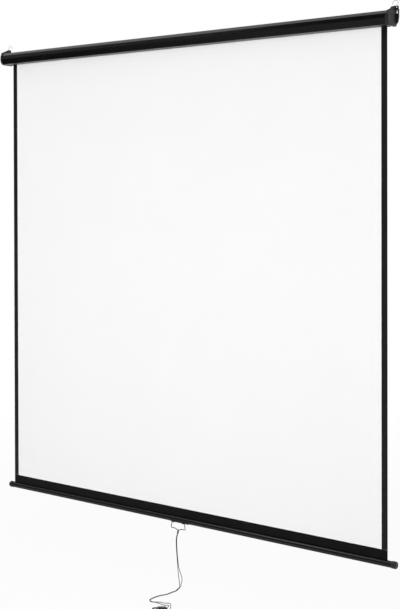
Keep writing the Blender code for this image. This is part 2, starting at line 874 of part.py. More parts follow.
def make_clip_screws(bar, clip):
    """The two screws up through the clip into the bar, and their holes."""
    under = bar_z - bar_radius - gap - clip_thickness
    for side, end in ((-1, "left"), (1, "right")):
        head_z = under - gap
        profile = [(0.0, 0.0), (0.0, clip_screw_head * 0.6), (0.0005, clip_screw_head * 0.9)]
        profile += [(0.0013, clip_screw_head), (0.0013, clip_screw_radius)]
        profile += [(clip_screw_length, clip_screw_radius), (clip_screw_length + 0.001, 0.0)]
        mesh = turned(f"{end}_clip_screw", profile, 12)
        mesh.transform(Matrix.Rotation(math.radians(-90), 4, "Y"))
        spot = (clip_screw_x(side), fabric_y, head_z - 0.0013)
        place(f"{end}_clip_screw", mesh, zinc(), 30, spot)
        low = (clip_screw_x(side), fabric_y, under - 0.001)
        high = (clip_screw_x(side), fabric_y, under + 0.006)
        for obj in (bar, clip):
            hole = cylinder(f"{obj.name}_hole_{end}", low, high, clip_screw_radius + gap, 12)
            combine(obj, hole, "DIFFERENCE")


def make_pull_clip():
    """The saddle clip under the bar and its two ears."""
    radius = bar_radius + gap + clip_thickness / 2
    path = [clip_point(clip_lead + clip_sweep * i / 12, radius) for i in range(13)]
    start = handle_x - clip_length / 2
    mesh = prism("pull_clip", thickened(path, clip_thickness), "X", start, start + clip_length)
    clip = place("pull_clip", mesh, black_plastic(), 30)
    for side in (-1, 1):
        x = handle_x + side * ear_span / 2
        ear = cylinder(
            f"ear_{side}",
            (x - ear_length / 2, ear_y, ear_z),
            (x + ear_length / 2, ear_y, ear_z),
            ear_radius,
            16,
        )
        combine(clip, ear, "UNION")
    seat = drum(start - 0.001, start + clip_length + 0.001, bar_radius + gap)
    combine(clip, turned("clip_seat", seat, 40, fabric_y, bar_z), "DIFFERENCE")
    bore_start = (handle_x - ear_span, ear_y, ear_z)
    bore_end = (handle_x + ear_span, ear_y, ear_z)
    bore = cylinder("ear_bore", bore_start, bore_end, bail_wire / 2 + gap, 16)
    combine(clip, bore, "DIFFERENCE")
    return clip


def bail_points():
    """The bail's path from its ear: out, down to its corners and in to its middle notch."""
    inner = ear_span / 2 - ear_length / 2 - 0.001
    outer = ear_span / 2 + ear_length / 2 + bail_shoulder
    half = (bail_width - bail_wire) / 2
    corners = [(inner, 0.0), (outer, 0.0), (half, -bail_drop)]
    corners += [(bail_notch_width / 2, -bail_drop), (0.0025, -bail_notch_drop + 0.0008)]
    right = [(p.x, p.y) for p in rounded(corners, bail_bend, 4)]
    left = [(-x, z) for x, z in right[::-1]]
    return [(x, 0.0, z) for x, z in right + [(0.0, -bail_notch_drop)] + left]


def make_bail():
    """The wire bail that hangs in the clip's ears."""
    bail = wire("wire_bail", bail_points(), bail_wire, black_wire())
    bail.location = (handle_x, ear_y, ear_z)
    return bail


def make_knot():
    """The knot: a loop of the cord round the bail's notch, drawn up into a ball under it."""
    loop_radius = knot_loop_radius()
    profile = arc((0.0, loop_radius), cord_diameter / 2, 0, 330, 11)
    mesh = turned("cord_knot", profile, 20)
    knot = place("cord_knot", mesh, black_cord(), 40, (handle_x, ear_y, knot_z))
    bm = bmesh.new()
    bmesh.ops.create_uvsphere(bm, u_segments=16, v_segments=10, radius=knot_ball_radius())
    ball = to_mesh("knot_ball", bm)
    ball.transform(Matrix.Translation(knot_ball()))
    combine(knot, ball, "UNION")
    return knot


def knot_loop_radius():
    return bail_wire / 2 + gap + cord_diameter / 2


def knot_ball_radius():
    return cord_diameter * 1.25


def knot_ball():
    """Centre of the knot's ball, a little to the front and left of the notch."""
    drop = knot_loop_radius() + knot_ball_radius() * 0.9
    return Vector((handle_x - 0.0010, ear_y - 0.0010, knot_z - drop))


def smooth_route(points, step=route_step):
    """Points at an even step on a smooth curve through the given ones."""
    through = [Vector(p) for p in points]
    ends = [2 * through[0] - through[1]], [2 * through[-1] - through[-2]]
    control = ends[0] + through + ends[1]
    fine = []
    for before, start, end, after in zip(control, control[1:], control[2:], control[3:]):
        for i in range(8):
            t = i / 8
            fine.append(
                0.5
                * (
                    2 * start
                    + (end - before) * t
                    + (2 * before - 5 * start + 4 * end - after) * t**2
                    + (3 * start - before - 3 * end + after) * t**3
                )
            )
    fine.append(through[-1])
    length = sum((b - a).length for a, b in zip(fine, fine[1:]))
    count = max(2, round(length / step))
    spaced = [fine[0]]
    walked = 0.0
    for a, b in zip(fine, fine[1:]):
        piece = (b - a).length
        while len(spaced) < count and walked + piece >= len(spaced) * length / count:
            spaced.append(a.lerp(b, (len(spaced) * length / count - walked) / piece))
        walked += piece
    return spaced + [fine[-1]]


def beside(route, offset):
    """The points of a route on the floor moved to its left, in metres."""
    moved = []
    for i, point in enumerate(route):
        ahead = Vector(route[min(i + 1, len(route) - 1)]) - Vector(route[max(i - 1, 0)])
        normal = Vector((-ahead.y, ahead.x)).normalized()
        moved.append((point[0] + normal.x * offset, point[1] + normal.y * offset, cord_floor))
    return moved


def cord_place(x, y, z):
    """A point on the cord's way down, given along and across from the ears, at its own height."""
    return (handle_x + x, ear_y + y, z)


def hank_place(x, y, z):
    """A point of the hank, given along it, across it away from the viewer and over the floor."""
    along = Vector((math.cos(hank_heading), math.sin(hank_heading), 0.0))
    across = Vector((-along.y, along.x, 0.0))
    base = Vector(cord_place(*hank_centre, cord_floor))
    return base + along * x + across * y + Vector((0.0, 0.0, z))


def shared_floor_route():
    """Where both strands run side by side on the floor, as (x, y)."""
    from_handle = [
        (0.0261, -0.0326),
        (0.0351, -0.0608),
        (0.0327, -0.0848),
        (0.0316, -0.1169),
        (0.0188, -0.1469),
        (0.0152, -0.1727),
        (0.0151, -0.1973),
        (0.0200, -0.2134),
        (0.0384, -0.2250),
        (0.0540, -0.2192),
    ]
    return [(handle_x + x, ear_y + y) for x, y in from_handle]


def strand_top(side):
    """Where a strand leaves the knot's ball and hangs beside the other one."""
    ball = knot_ball()
    start = ball.z - knot_ball_radius() - gap
    apart = side * strand_pitch / 2
    points = [(ball.x, ball.y + apart, start)]
    points.append((ball.x - 0.0010, ball.y - 0.0004 + apart, start - cord_diameter))
    hanging = [
        (-0.0054, -0.0029, -2.1290),
        (-0.0063, -0.0045, -2.1475),
        (-0.0039, -0.0050, -2.1875),
        (0.0007, -0.0059, -2.2275),
    ]
    return points + [cord_place(x, y + apart, z) for x, y, z in hanging]


def strand_a_points():
    """The strand that bows out over the floor and runs into the hank."""
    bow = [
        (0.0093, -0.0062, -2.2635),
        (0.0245, -0.0089, -2.2915),
        (0.0283, -0.0099, -2.3060),
        (0.0245, -0.0106, -2.3245),
        (0.0230, -0.0149, -2.3365),
        (0.0245, -0.0234, cord_floor),
    ]
    run_in = [
        (0.0742, -0.2068),
        (0.0938, -0.2053),
        (0.1076, -0.1948),
        (0.1262, -0.2059),
        (0.1349, -0.2199),
    ]
    points = strand_top(1) + [cord_place(*point) for point in bow]
    points += beside(shared_floor_route(), strand_pitch / 2)
    points += [cord_place(x, y, cord_floor) for x, y in run_in]
    points.append(hank_place(0.0415, 0.045, 0.0))
    points.append(hank_place(0.0410, 0.032, 0.0006))
    turn_in = 0.012
    middle = (0.029, hank_fold + hank_pitch + turn_in)
    for x, y in arc(middle, turn_in, 0, -90, 3):
        rise = (middle[0] + turn_in - x) / turn_in
        points.append(hank_place(x, y, wrap_seat * rise))
    return points


def strand_b_points():
    """The strand that hangs straighter and leaves the last turn round the hank."""
    fall = [
        (0.0046, -0.0086, -2.2625),
        (0.0086, -0.0099, -2.2895),
        (0.0135, -0.0106, -2.3140),
        (0.0175, -0.0124, -2.3345),
        (0.0200, -0.0194, cord_floor),
    ]
    run_in = [
        (0.0710, -0.2214),
        (0.0886, -0.2242),
        (0.1083, -0.2255),
        (0.1149, -0.2174),
    ]
    beside_hank = [
        (0.0318, 0.0735, 0.0),
        (0.0340, 0.0665, 0.0),
        (0.0310, 0.0560, 0.0),
        (0.0275, 0.0430, 0.0),
        (0.0255, 0.0330, 0.0030),
        (0.0245, 0.0260, 0.0080),
    ]
    points = strand_top(-1) + [cord_place(*point) for point in fall]
    points += beside(shared_floor_route(), -strand_pitch / 2)
    points += [cord_place(x, y, cord_floor) for x, y in run_in]
    points += [hank_place(*point) for point in beside_hank]
    x, y, z = wrap_end()
    points.append(hank_place(x + 0.0006, y + 0.0120, z - 0.0045))
    points.append(hank_place(x, y + 0.0050, z - 0.0002))
    points.append(hank_place(x, y + gap, z))
    return points


def layer_height(layer):
    """Height of one of the hank's layers over the cord's own height on the floor."""
    return wrap_seat + layer * hank_pitch


def hank_points():
    """Long loops that spiral in and out in layers, from the outside at the right end."""
    points = [hank_place(hank_run / 2 + 0.0075, hank_fold + hank_pitch, layer_height(0))]
    for layer in range(hank_layers):
        low = layer_height(max(layer - 1, 0))
        high = layer_height(layer)
        start = 1.0 if layer % 2 == 0 else 0.0
        middle = 0.5
        end = 1.0 - start
        for i in range(4):
            x = hank_run / 2 - hank_run * i / 4
            z = low + (high - low) * min(i / 3.2, 1.0) if i < 3 else high
            points.append(hank_place(x, hank_fold + hank_pitch * start, z))
        points += fold_points(-1, start, middle, high)
        if layer == hank_layers - 1:
            break
        for i in range(1, 4):
            x = -hank_run / 2 + hank_run * i / 4
            points.append(hank_place(x, -hank_fold - hank_pitch * middle, high))
        points += fold_points(1, middle, end, high)[:-1]
    points.append(hank_place(wrap_start, -hank_fold - hank_pitch / 2, layer_height(hank_layers - 1)))
    return points


def fold_points(side, start, end, height):
    """Half a turn at one end of the hank, its radius going from one loop's place to another's."""
    points = []
    for i in range(9):
        t = i / 8
        radius = hank_fold + hank_pitch * (start + (end - start) * t)
        angle = math.radians(90 + 180 * t if side < 0 else -90 + 180 * t)
        x = side * hank_run / 2 + radius * math.cos(angle)
        points.append(hank_place(x, radius * math.sin(angle), height))
    return points


def wrap_section():
    """Far and near reach and height of the turns round the hank, as the cord's middle runs."""
    far = hank_fold + hank_pitch + wrap_seat
    return far, far - hank_pitch / 2, 2 * wrap_seat + (hank_layers - 1) * hank_pitch


def wrap_end():
    """Where the last turn stops on top of the hank, in the hank's own directions."""
    far, near, top = wrap_section()
    along = wrap_start + wrap_climb + gap + wrap_turns * wrap_pitch_along
    return along, far - wrap_bend - wrap_end_inset, top


def wrap_points():
    """The turns that hold the hank together, each a rounded rectangle round its loops."""
    far, near, top = wrap_section()
    low = -hank_fold - hank_pitch / 2
    level = layer_height(hank_layers - 1)
    x = wrap_start + gap
    points = [hank_place(x, low, level), hank_place(x + cord_diameter, low, level)]
    points.append(hank_place(x + 0.0062, low + 0.0012, level + 0.0022))
    points.append(hank_place(x + 0.0085, low + 0.0042, top - 0.0004))
    first = x + wrap_climb
    loop = [(0.0, top)]
    loop += arc((far - wrap_bend, top - wrap_bend), wrap_bend, 90, 0, 4)
    loop += arc((far - wrap_bend, wrap_bend), wrap_bend, 0, -90, 4)
    loop += [(0.0, 0.0)]
    loop += arc((wrap_bend - near, wrap_bend), wrap_bend, -90, -180, 4)
    loop += arc((wrap_bend - near, top - wrap_bend), wrap_bend, 180, 90, 4)
    for turn in range(wrap_turns):
        for i, (y, z) in enumerate(loop):
            points.append(hank_place(first + (turn + i / len(loop)) * wrap_pitch_along, y, z))
    points.append(hank_place(first + wrap_turns * wrap_pitch_along, 0.0, top))
    points.append(hank_place(*wrap_end()))
    return points


def least_self_gap(points, diameter):
    """Smallest space between stretches of a tube that are not next to each other."""
    walked = [0.0]
    for a, b in zip(points, points[1:]):
        walked.append(walked[-1] + (b - a).length)
    least = math.inf
    for i, a in enumerate(points):
        for j in range(i + 1, len(points)):
            if walked[j] - walked[i] > 4 * diameter:
                least = min(least, (points[j] - a).length)
    return least - diameter


def path_length(points):
    return sum((b - a).length for a, b in zip(points, points[1:]))


def make_cord():
    """The doubled cord from the knot to the floor, its hank and the turns round the hank."""
    total = 0.0
    for name, route in (("cord_strand_a", strand_a_points()), ("cord_strand_b", strand_b_points())):
        points = smooth_route(route)
        wire(name, points, cord_diameter, black_cord(), 2)
        total += path_length(points)
        print(name, len(points), "points", round(path_length(points), 4))
    for name, points in (("cord_hank", hank_points()), ("hank_wrap", wrap_points())):
        wire(name, points, cord_diameter, black_cord(), 1)
        total += path_length(points)
        clear = least_self_gap(points, cord_diameter)
        print(name, len(points), "points", round(path_length(points), 4), "gap", round(clear, 5))
    print("cord length", round(total, 3))


def set_origins(names, point):
    """Put the origins of pieces that turn together on their joint's axis."""
    for name in names:
        obj = bpy.data.objects[name]
        shift = Vector(point) - obj.location
        obj.data.transform(Matrix.Translation(-shift))
        obj.location = point


def main():
    clear_scene()
    make_casing()
    make_end_cap("left_end_cap", -1)
    make_end_cap("right_end_cap", 1)
    for side, end in ((-1, "left"), (1, "right")):
        make_cap_screw(f"{end}_cap_screw_top", side, 1)
        make_cap_screw(f"{end}_cap_screw_bottom", side, -1)
        make_s_hook(f"{end}_s_hook", side)
    make_roller()
    make_ratchet(make_end_plug())
    make_spring_group()
    make_viewing_fabric()
    make_leader()
    bar = make_weight_bar()
    make_clip_screws(bar, make_pull_clip())
    make_bail()
    make_knot()
    make_cord()
    turning = ["roller_tube", "wound_fabric", "idle_plug", "idle_pin", "roller_end_plug"]
    turning += ["spring_anchor_plug", "pawl_pin_a", "pawl_pin_b"]
    set_origins(turning, (0.0, roller_y, 0.0))
    corded = ["cord_strand_a", "cord_strand_b", "cord_hank", "hank_wrap"]
    set_origins(corded, (handle_x, ear_y, knot_z))
    print("screen travel", round(screen_travel, 5), "bar height", round(bar_z, 5))


main()
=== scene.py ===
"""Pull-down projection screen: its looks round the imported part, laid out as an add-on."""

from math import ceil, copysign, cos, degrees, pi, radians, sin, sqrt, tan

import bmesh
import bpy
from bpy.props import FloatProperty, FloatVectorProperty, IntProperty, PointerProperty
from bpy.types import Operator, Panel, PropertyGroup
from mathutils import Matrix, Vector


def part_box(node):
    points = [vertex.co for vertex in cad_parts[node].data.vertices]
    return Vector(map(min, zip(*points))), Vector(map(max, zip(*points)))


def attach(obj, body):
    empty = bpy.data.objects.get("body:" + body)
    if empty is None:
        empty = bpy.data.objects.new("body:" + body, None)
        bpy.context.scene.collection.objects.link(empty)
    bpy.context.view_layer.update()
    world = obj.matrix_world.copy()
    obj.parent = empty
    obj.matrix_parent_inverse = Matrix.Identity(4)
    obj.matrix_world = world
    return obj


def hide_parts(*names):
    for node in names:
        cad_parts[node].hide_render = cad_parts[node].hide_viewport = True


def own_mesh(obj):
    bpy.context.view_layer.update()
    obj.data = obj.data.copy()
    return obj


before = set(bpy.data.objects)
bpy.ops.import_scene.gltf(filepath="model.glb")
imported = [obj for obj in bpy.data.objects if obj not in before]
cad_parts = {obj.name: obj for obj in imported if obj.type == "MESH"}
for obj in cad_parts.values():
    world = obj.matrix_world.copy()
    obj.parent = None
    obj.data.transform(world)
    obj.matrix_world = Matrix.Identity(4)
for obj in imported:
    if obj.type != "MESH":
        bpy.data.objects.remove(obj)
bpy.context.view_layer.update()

bl_info = {
    "name": "Pull-down Projection Screen",
    "version": (1, 0, 0),
    "blender": (4, 5, 0),
    "location": "3D View > Sidebar > Screen",
    "description": "Builds a pull-down projection screen round its packed frame",
    "category": "Object",
}

# Places and sizes that several pieces share, in metres

x_axis = Vector((1.0, 0.0, 0.0))
y_axis = Vector((0.0, 1.0, 0.0))
z_axis = Vector((0.0, 0.0, 1.0))
case_low, case_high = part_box("casing")
cloth_low, cloth_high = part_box("viewing_fabric")
bar_low, bar_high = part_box("weight_bar")
cloth_y = (cloth_low.y + cloth_high.y) / 2
bar_centre = Vector((0.0, cloth_y, (bar_low.z + bar_high.z) / 2))
bar_radius = (bar_high.z - bar_low.z) / 2
ends = {"left": -1, "right": 1}
gap = 0.0003
slack = 1e-5
handle_x = 0.01
ear_y = -0.029135
ear_height = -2.067134
notch_drop = 0.0345
ear_place = Vector((handle_x, ear_y, ear_height))
notch_place = Vector((handle_x, ear_y, ear_height - notch_drop))
floor_level = -2.3405
cord_diameter = 0.0028


# Sizes and colours that a user may change


def length(name, words, metres):
    return FloatProperty(name=name, description=words, default=metres, unit="LENGTH")


def tint(name, words, value):
    return FloatVectorProperty(
        name=name, description=words, default=value, subtype="COLOR", size=3, min=0.0, max=1.0
    )


class CaseSizes(PropertyGroup):
    """Sizes of the case and its ends."""

    sheet: length("Sheet", "Thickness of the case's sheet", 0.0008)
    bend: length("Bend", "Outer radius of the sheet's bends", 0.0018)
    chamfer: length("Chamfer", "Height of the sloping facet along the top", 0.0125)
    moulded_edge: length("Moulded edge", "Radius on the edges of moulded pieces", 0.0004)


class ClothSizes(PropertyGroup):
    """Sizes of the sheet and of the winding on the roller."""

    border: length("Side border", "Width of the black border down each side", 0.0257)
    thickness: length("Thickness", "Thickness of the cloth", 0.0005)
    winds: IntProperty(
        name="Safety winds", description="Turns of cloth left on the roller", default=3, min=1
    )


class CordSizes(PropertyGroup):
    """Sizes of the pull cord and the wire."""

    braid: length("Braid", "Length of one turn of the braid", 0.007)
    bail: length("Bail wire", "Diameter of the bail's wire", 0.0032)
    hook: length("Hook wire", "Diameter of the hooks' wire", 0.0025)


class FinishColours(PropertyGroup):
    """Colours of the finishes."""

    enamel: tint("Enamel", "Gloss enamel on the case and bar", (0.003, 0.003, 0.0032))
    plastic: tint("Plastic", "Moulded ends and clip", (0.01, 0.01, 0.0105))
    face: tint("White face", "Viewing face of the cloth", (0.9, 0.9, 0.905))
    border: tint("Border", "Black border and back of the cloth", (0.005, 0.005, 0.0055))
    zinc: tint("Zinc", "Plated screws and hooks", (0.66, 0.66, 0.68))
    cord: tint("Cord", "Braided pull cord", (0.02, 0.02, 0.022))


# Shader maths


def maths(operation, swapped=False):
    """A method that works a sum on a socket and another one or a number by a Math node."""

    def method(self, other=0.0):
        terms = {0: other, 1: self} if swapped else {0: self, 1: other}
        return self.finish.node("Math", terms, {"operation": operation})

    return method


class Field:
    """A socket in a material's nodes. Arithmetic on it adds Math nodes."""

    __add__ = __radd__ = maths("ADD")
    __mul__ = __rmul__ = maths("MULTIPLY")
    __sub__ = maths("SUBTRACT")
    __rsub__ = maths("SUBTRACT", swapped=True)
    __gt__ = maths("GREATER_THAN")
    __abs__ = maths("ABSOLUTE")
    wave = maths("SINE")
    or_more = maths("MAXIMUM")

    def __init__(self, finish, socket):
        self.finish = finish
        self.socket = socket

    def output(self, name):
        return Field(self.finish, self.socket.node.outputs[name])


class Finish:
    """A material, or the world round the screen, and the nodes that make it."""

    def __init__(self, name, kind="materials"):
        self.block = getattr(bpy.data, kind).new(name)
        self.block.use_nodes = True
        self.tree = self.block.node_tree
        self.tree.nodes.clear()

    def node(self, kind, sockets={}, settings={}, output=0):
        """Add a node of a kind, set it, fill its sockets with values or links, give one output."""
        node = self.tree.nodes.new(f"ShaderNode{kind}")
        for key, value in settings.items():
            setattr(node, key, value)
        for key, value in sockets.items():
            if isinstance(value, Field):
                self.tree.links.new(value.socket, node.inputs[key])
            else:
                node.inputs[key].default_value = value
        return Field(self, node.outputs[output]) if node.outputs else None

    def place(self, scale=(1.0, 1.0, 1.0), source="Object"):
        """Coordinates of the piece, stretched or squeezed along each axis."""
        coordinates = self.node("TexCoord", output=source)
        return self.node("Mapping", {"Vector": coordinates, "Scale": scale})

    def noise(self, scale, detail=2.0, stretch=(1.0, 1.0, 1.0)):
        sockets = {"Vector": self.place(stretch), "Scale": scale, "Detail": detail}
        return self.node("TexNoise", sockets)

    def cells(self, scale, output="Distance"):
        sockets = {"Vector": self.place(), "Scale": scale}
        return self.node("TexVoronoi", sockets, output=output)

    def spread(self, value, low, high, start=0.3, end=0.7):
        """A value that runs from start to end, brought between two limits."""
        sockets = {"Value": value, 1: start, 2: end, 3: low, 4: high}
        return self.node("MapRange", sockets)

    def axes(self, vector):
        """The three numbers of a place or direction."""
        x = self.node("SeparateXYZ", {0: vector})
        return x, x.output("Y"), x.output("Z")

    def blended(self, share, first, second):
        """A colour between two others."""
        sockets = {0: share, 6: (*first, 1.0), 7: (*second, 1.0)}
        return self.node("Mix", sockets, {"data_type": "RGBA"}, 2)

    def shade(self, colour, tone, amount):
        """A colour made up to an amount darker and lighter by a pattern's tone."""
        dark = [c * (1 - amount) for c in colour]
        light = [min(1.0, c * (1 + amount)) for c in colour]
        return self.blended(tone, dark, light)

    def relief(self, height, depth, strength=1.0, below=None):
        """Bumps of a depth in metres, over others if they are given."""
        sockets = {"Height": height, "Distance": depth, "Strength": strength}
        if below is not None:
            sockets["Normal"] = below
        return self.node("Bump", sockets)

    def either(self, share, first, second):
        """One shader or another."""
        return self.node("MixShader", {0: share, 1: first, 2: second})

    def surface(self, base, roughness, normal, **others):
        """End in the shader. Its other sockets are named in small letters with underscores."""
        sockets = {"Base Color": base, "Roughness": roughness, "Normal": normal}
        for key, value in others.items():
            sockets[key.replace("_", " ").title().replace("Ior", "IOR")] = value
        shader = self.node("BsdfPrincipled", sockets)
        self.node("OutputMaterial", {"Surface": shader})
        return self.block


# Finishes, each made by a function that gives the material its name

fine_weave = 0.0011
coarse_weave = 0.0014


def colour(name):
    return tuple(getattr(bpy.context.scene.screen_colours, name))


def finished(maker):
    """The material that a function makes, made once."""
    name = maker.__name__
    return bpy.data.materials.get(name) or maker(Finish(name))


def enamel(finish, low, high, shine, dull_below=None, fade=0.0):
    """Black stoved enamel: orange peel, fine lint and soft wiping marks, duller under a height."""
    lint_colour = (0.02, 0.02, 0.02)
    dulling = 0.34
    clouds = finish.noise(14.0, 3.0)
    peel = finish.noise(900.0, 1.0)
    wiping = finish.noise(60.0, 4.0, (0.3, 8.0, 8.0))
    lint = finish.noise(2600.0, 0.0) > 0.8
    base = finish.blended(lint, colour("enamel"), lint_colour)
    rough = finish.spread(clouds, low, high) + finish.spread(wiping, 0.0, 0.04, 0.45, 0.75)
    if dull_below is not None:
        up = finish.axes(finish.place())[2]
        rough = rough + finish.spread(up, dulling, 0.0, dull_below, dull_below + fade)
    peeled = finish.relief(peel, 0.00003, 0.5)
    return finish.surface(base, rough + lint * 0.2, peeled, specular_ior_level=shine)


def gloss_enamel(finish):
    return enamel(finish, 0.06, 0.1, 0.5)


def case_enamel(finish):
    return enamel(finish, 0.06, 0.1, 0.5, case_low.z + gap, 0.0006)


def satin_enamel(finish):
    return enamel(finish, 0.16, 0.2, 0.25, bar_low.z + 0.009, 0.004)


def moulded_plastic(finish):
    """Black moulded plastic with a fine spark texture, rubbed a little smoother in patches."""
    grain = finish.cells(2200.0)
    rubbed = finish.noise(70.0, 3.0)
    base = finish.shade(colour("plastic"), finish.noise(400.0, 2.0), 0.25)
    rough = finish.spread(rubbed, 0.34, 0.48) + grain * 0.1
    return finish.surface(base, rough, finish.relief(grain, 0.00006, 0.6), specular_ior_level=0.35)


def weave(finish, pitch):
    """Threads over and under each other, a pitch apart."""
    place = finish.axes(finish.place())
    turn = 2 * pi / pitch
    return abs((place[0] * turn).wave()) + abs((place[2] * turn).wave())


def screen_face(finish):
    """Matte white viewing face: fine beads over the weave, a trace of unevenness in the coat."""
    beads = finish.cells(2600.0)
    coat = finish.noise(3.0, 3.0)
    base = finish.shade(colour("face"), finish.spread(coat, 0.3, 0.7), 0.012)
    threads = finish.relief(weave(finish, fine_weave), 0.00002, 0.25)
    beaded = finish.relief(beads, 0.00004, 0.3, threads)
    return finish.surface(base, finish.spread(beads, 0.78, 0.9), beaded, specular_ior_level=0.3)


def printed_ink(finish, share, shine):
    """Satin ink over the weave, in a share of the border's colour."""
    ink = finish.noise(900.0, 3.0)
    base = finish.shade([share * part for part in colour("border")], ink, 0.3)
    threads = finish.relief(weave(finish, fine_weave), 0.00004, 0.5)
    rough = finish.spread(finish.noise(30.0, 3.0), 0.44, 0.58)
    inked = finish.relief(ink, 0.00002, 0.4, threads)
    return finish.surface(base, rough, inked, specular_ior_level=shine)


def screen_border(finish):
    return printed_ink(finish, 1.0, 0.2)


def screen_drop(finish):
    return printed_ink(finish, 0.5, 0.1)


def screen_back(finish):
    """Black backing of the cloth: a dull coat with the weave showing through."""
    coat = finish.noise(40.0, 4.0)
    base = finish.shade(colour("border"), finish.noise(1200.0, 2.0), 0.35)
    threads = finish.relief(weave(finish, coarse_weave), 0.00007, 0.7)
    return finish.surface(base, finish.spread(coat, 0.62, 0.78), threads)


def zinc_plate(finish):
    """Bright zinc plate with faint spangle and dulled handling marks."""
    spangle = finish.cells(900.0, "Color")
    tone = finish.node("SeparateColor", {0: spangle})
    base = finish.shade(colour("zinc"), tone, 0.1)
    dull = finish.spread(finish.noise(260.0, 3.0), 0.22, 0.42)
    grain = finish.relief(finish.noise(3000.0, 1.0), 0.00001, 0.4)
    return finish.surface(base, dull + tone * 0.06, grain, metallic=1.0)


def turned_steel(finish):
    """Turned steel: fine rings round the axis and a thin film of oil in patches."""
    rings = finish.noise(900.0, 2.0, (1.0, 0.02, 0.02))
    base = finish.shade((0.46, 0.46, 0.47), finish.noise(50.0, 3.0), 0.12)
    rough = finish.spread(rings, 0.24, 0.4)
    return finish.surface(base, rough, finish.relief(rings, 0.00002, 0.5), metallic=1.0)


def natural_nylon(finish):
    """Natural nylon: milky, with a fine moulded grain."""
    cloud = finish.noise(120.0, 3.0)
    base = finish.shade((0.7, 0.67, 0.6), cloud, 0.05)
    grain = finish.relief(finish.cells(1800.0), 0.00003, 0.4)
    return finish.surface(base, finish.spread(cloud, 0.4, 0.52), grain)


def coated_wire(finish):
    """Black dipped coat on the bail's wire: glossy, with slow runs along it."""
    runs = finish.noise(420.0, 2.0)
    base = finish.shade((0.004, 0.004, 0.0045), runs, 0.3)
    rough = finish.spread(runs, 0.3, 0.42)
    return finish.surface(base, rough, finish.relief(runs, 0.00005, 0.4), specular_ior_level=0.2)


def braided_cord(finish):
    """Braided black cord: strands crossing each way round it, with a little fuzz, and painted
    shade in the grooves between the strands.
    """
    strands_each_way = 4
    place = finish.axes(finish.place(source="UV"))
    round_it = place[0] * (2 * pi * strands_each_way)
    along = place[1] * (4 * pi / bpy.context.scene.screen_cord.braid)
    braid = abs((round_it + along).wave()) * abs((round_it - along).wave())
    fuzz = finish.noise(3000.0, 2.0)
    # The braid's crowns are painted lighter and the grooves between strands painted darker, a
    # painted shade, with random fuzz over it.
    tone = finish.spread(braid + fuzz * 0.4, 0.0, 1.0, 0.1, 1.0)
    base = finish.shade(colour("cord"), tone, 0.5)
    rough = finish.spread(fuzz, 0.62, 0.8)
    relief = finish.relief(braid, 0.00025, 0.8)
    return finish.surface(base, rough, relief, sheen_weight=0.15, sheen_roughness=0.5)


# Work at the bench: small steps that every piece uses


def clear_selection():
    """Leave edit mode and select nothing, because an operator acts on all that is selected."""
    if bpy.context.mode != "OBJECT":
        bpy.ops.object.mode_set(mode="OBJECT")
    bpy.ops.object.select_all(action="DESELECT")


def work_on(obj):
    clear_selection()
    obj.select_set(True)
    bpy.context.view_layer.objects.active = obj


def start_shaping(obj):
    work_on(obj)
    bpy.ops.object.mode_set(mode="EDIT")
    bpy.ops.mesh.select_all(action="SELECT")


def end_shaping():
    """Turn all faces outwards and leave edit mode."""
    bpy.ops.mesh.select_all(action="SELECT")
    bpy.ops.mesh.normals_make_consistent(inside=False)
    bpy.ops.object.mode_set(mode="OBJECT")


def fresh_piece(name):
    """Name the primitive just added and put its place in its mesh."""
    obj = bpy.context.object
    obj.name = name
    obj.data.name = name
    bpy.ops.object.transform_apply(location=True, rotation=True, scale=True)
    return obj


def near(value, target):
    return abs(value - target) < slack


def at(**places):
    """A test that a corner is at the given places along x, y or z."""
    return lambda co: all(near(getattr(co, axis), place) for axis, place in places.items())


def pick_parts(obj, kind, test):
    """In edit mode, select the vertices, edges or faces that pass a test."""
    bpy.ops.mesh.select_mode(type=kind)
    bpy.ops.mesh.select_all(action="DESELECT")
    bm = bmesh.from_edit_mesh(obj.data)
    parts = f"{kind.lower()}s"
    chosen = [part for part in getattr(bm, parts) if test(part)]
    for part in chosen:
        part.select_set(True)
    bmesh.update_edit_mesh(obj.data)
    if not chosen:
        raise RuntimeError(f"nothing on {obj.name} passes the test for {parts}")


def pick(obj, kind, test):
    """In edit mode, select the vertices, edges or faces whose corners all pass a test."""
    pick_parts(obj, kind, lambda part: all(test(v.co) for v in getattr(part, "verts", [part])))


def take_off(obj, test):
    """Delete the faces whose corners all pass a test."""
    pick(obj, "FACE", test)
    bpy.ops.mesh.delete(type="FACE")


def cut(axis, distance):
    """Cut edges into all faces at a distance along an axis."""
    bpy.ops.mesh.select_all(action="SELECT")
    bpy.ops.mesh.bisect(plane_co=axis * distance, plane_no=axis)


def pull_out(step):
    """Extrude what is selected by a step."""
    bpy.ops.mesh.extrude_region_move(TRANSFORM_OT_translate={"value": step})


def pull_along(points):
    """Extrude what is selected from each point to the next."""
    for before, point in zip(points, points[1:]):
        pull_out(point - before)


def block(name, low, high):
    """A box between two corners."""
    clear_selection()
    bpy.ops.mesh.primitive_cube_add(size=1.0, location=(low + high) / 2, scale=high - low)
    return fresh_piece(name)


def disc(name, place, rotation, radius, sides):
    """A round face in edit mode, ready to be drawn out."""
    clear_selection()
    bpy.ops.mesh.primitive_circle_add(
        vertices=sides, radius=radius, fill_type="NGON", location=place, rotation=rotation
    )
    obj = fresh_piece(name)
    start_shaping(obj)
    return obj


def strip(name, place, width, depth, tilt=0.0):
    """A flat face in edit mode, tilted about X by degrees."""
    clear_selection()
    rotation = (radians(tilt), 0.0, 0.0)
    bpy.ops.mesh.primitive_plane_add(size=1.0, location=place, rotation=rotation)
    bpy.context.object.scale = (width, depth, 1.0)
    obj = fresh_piece(name)
    start_shaping(obj)
    return obj


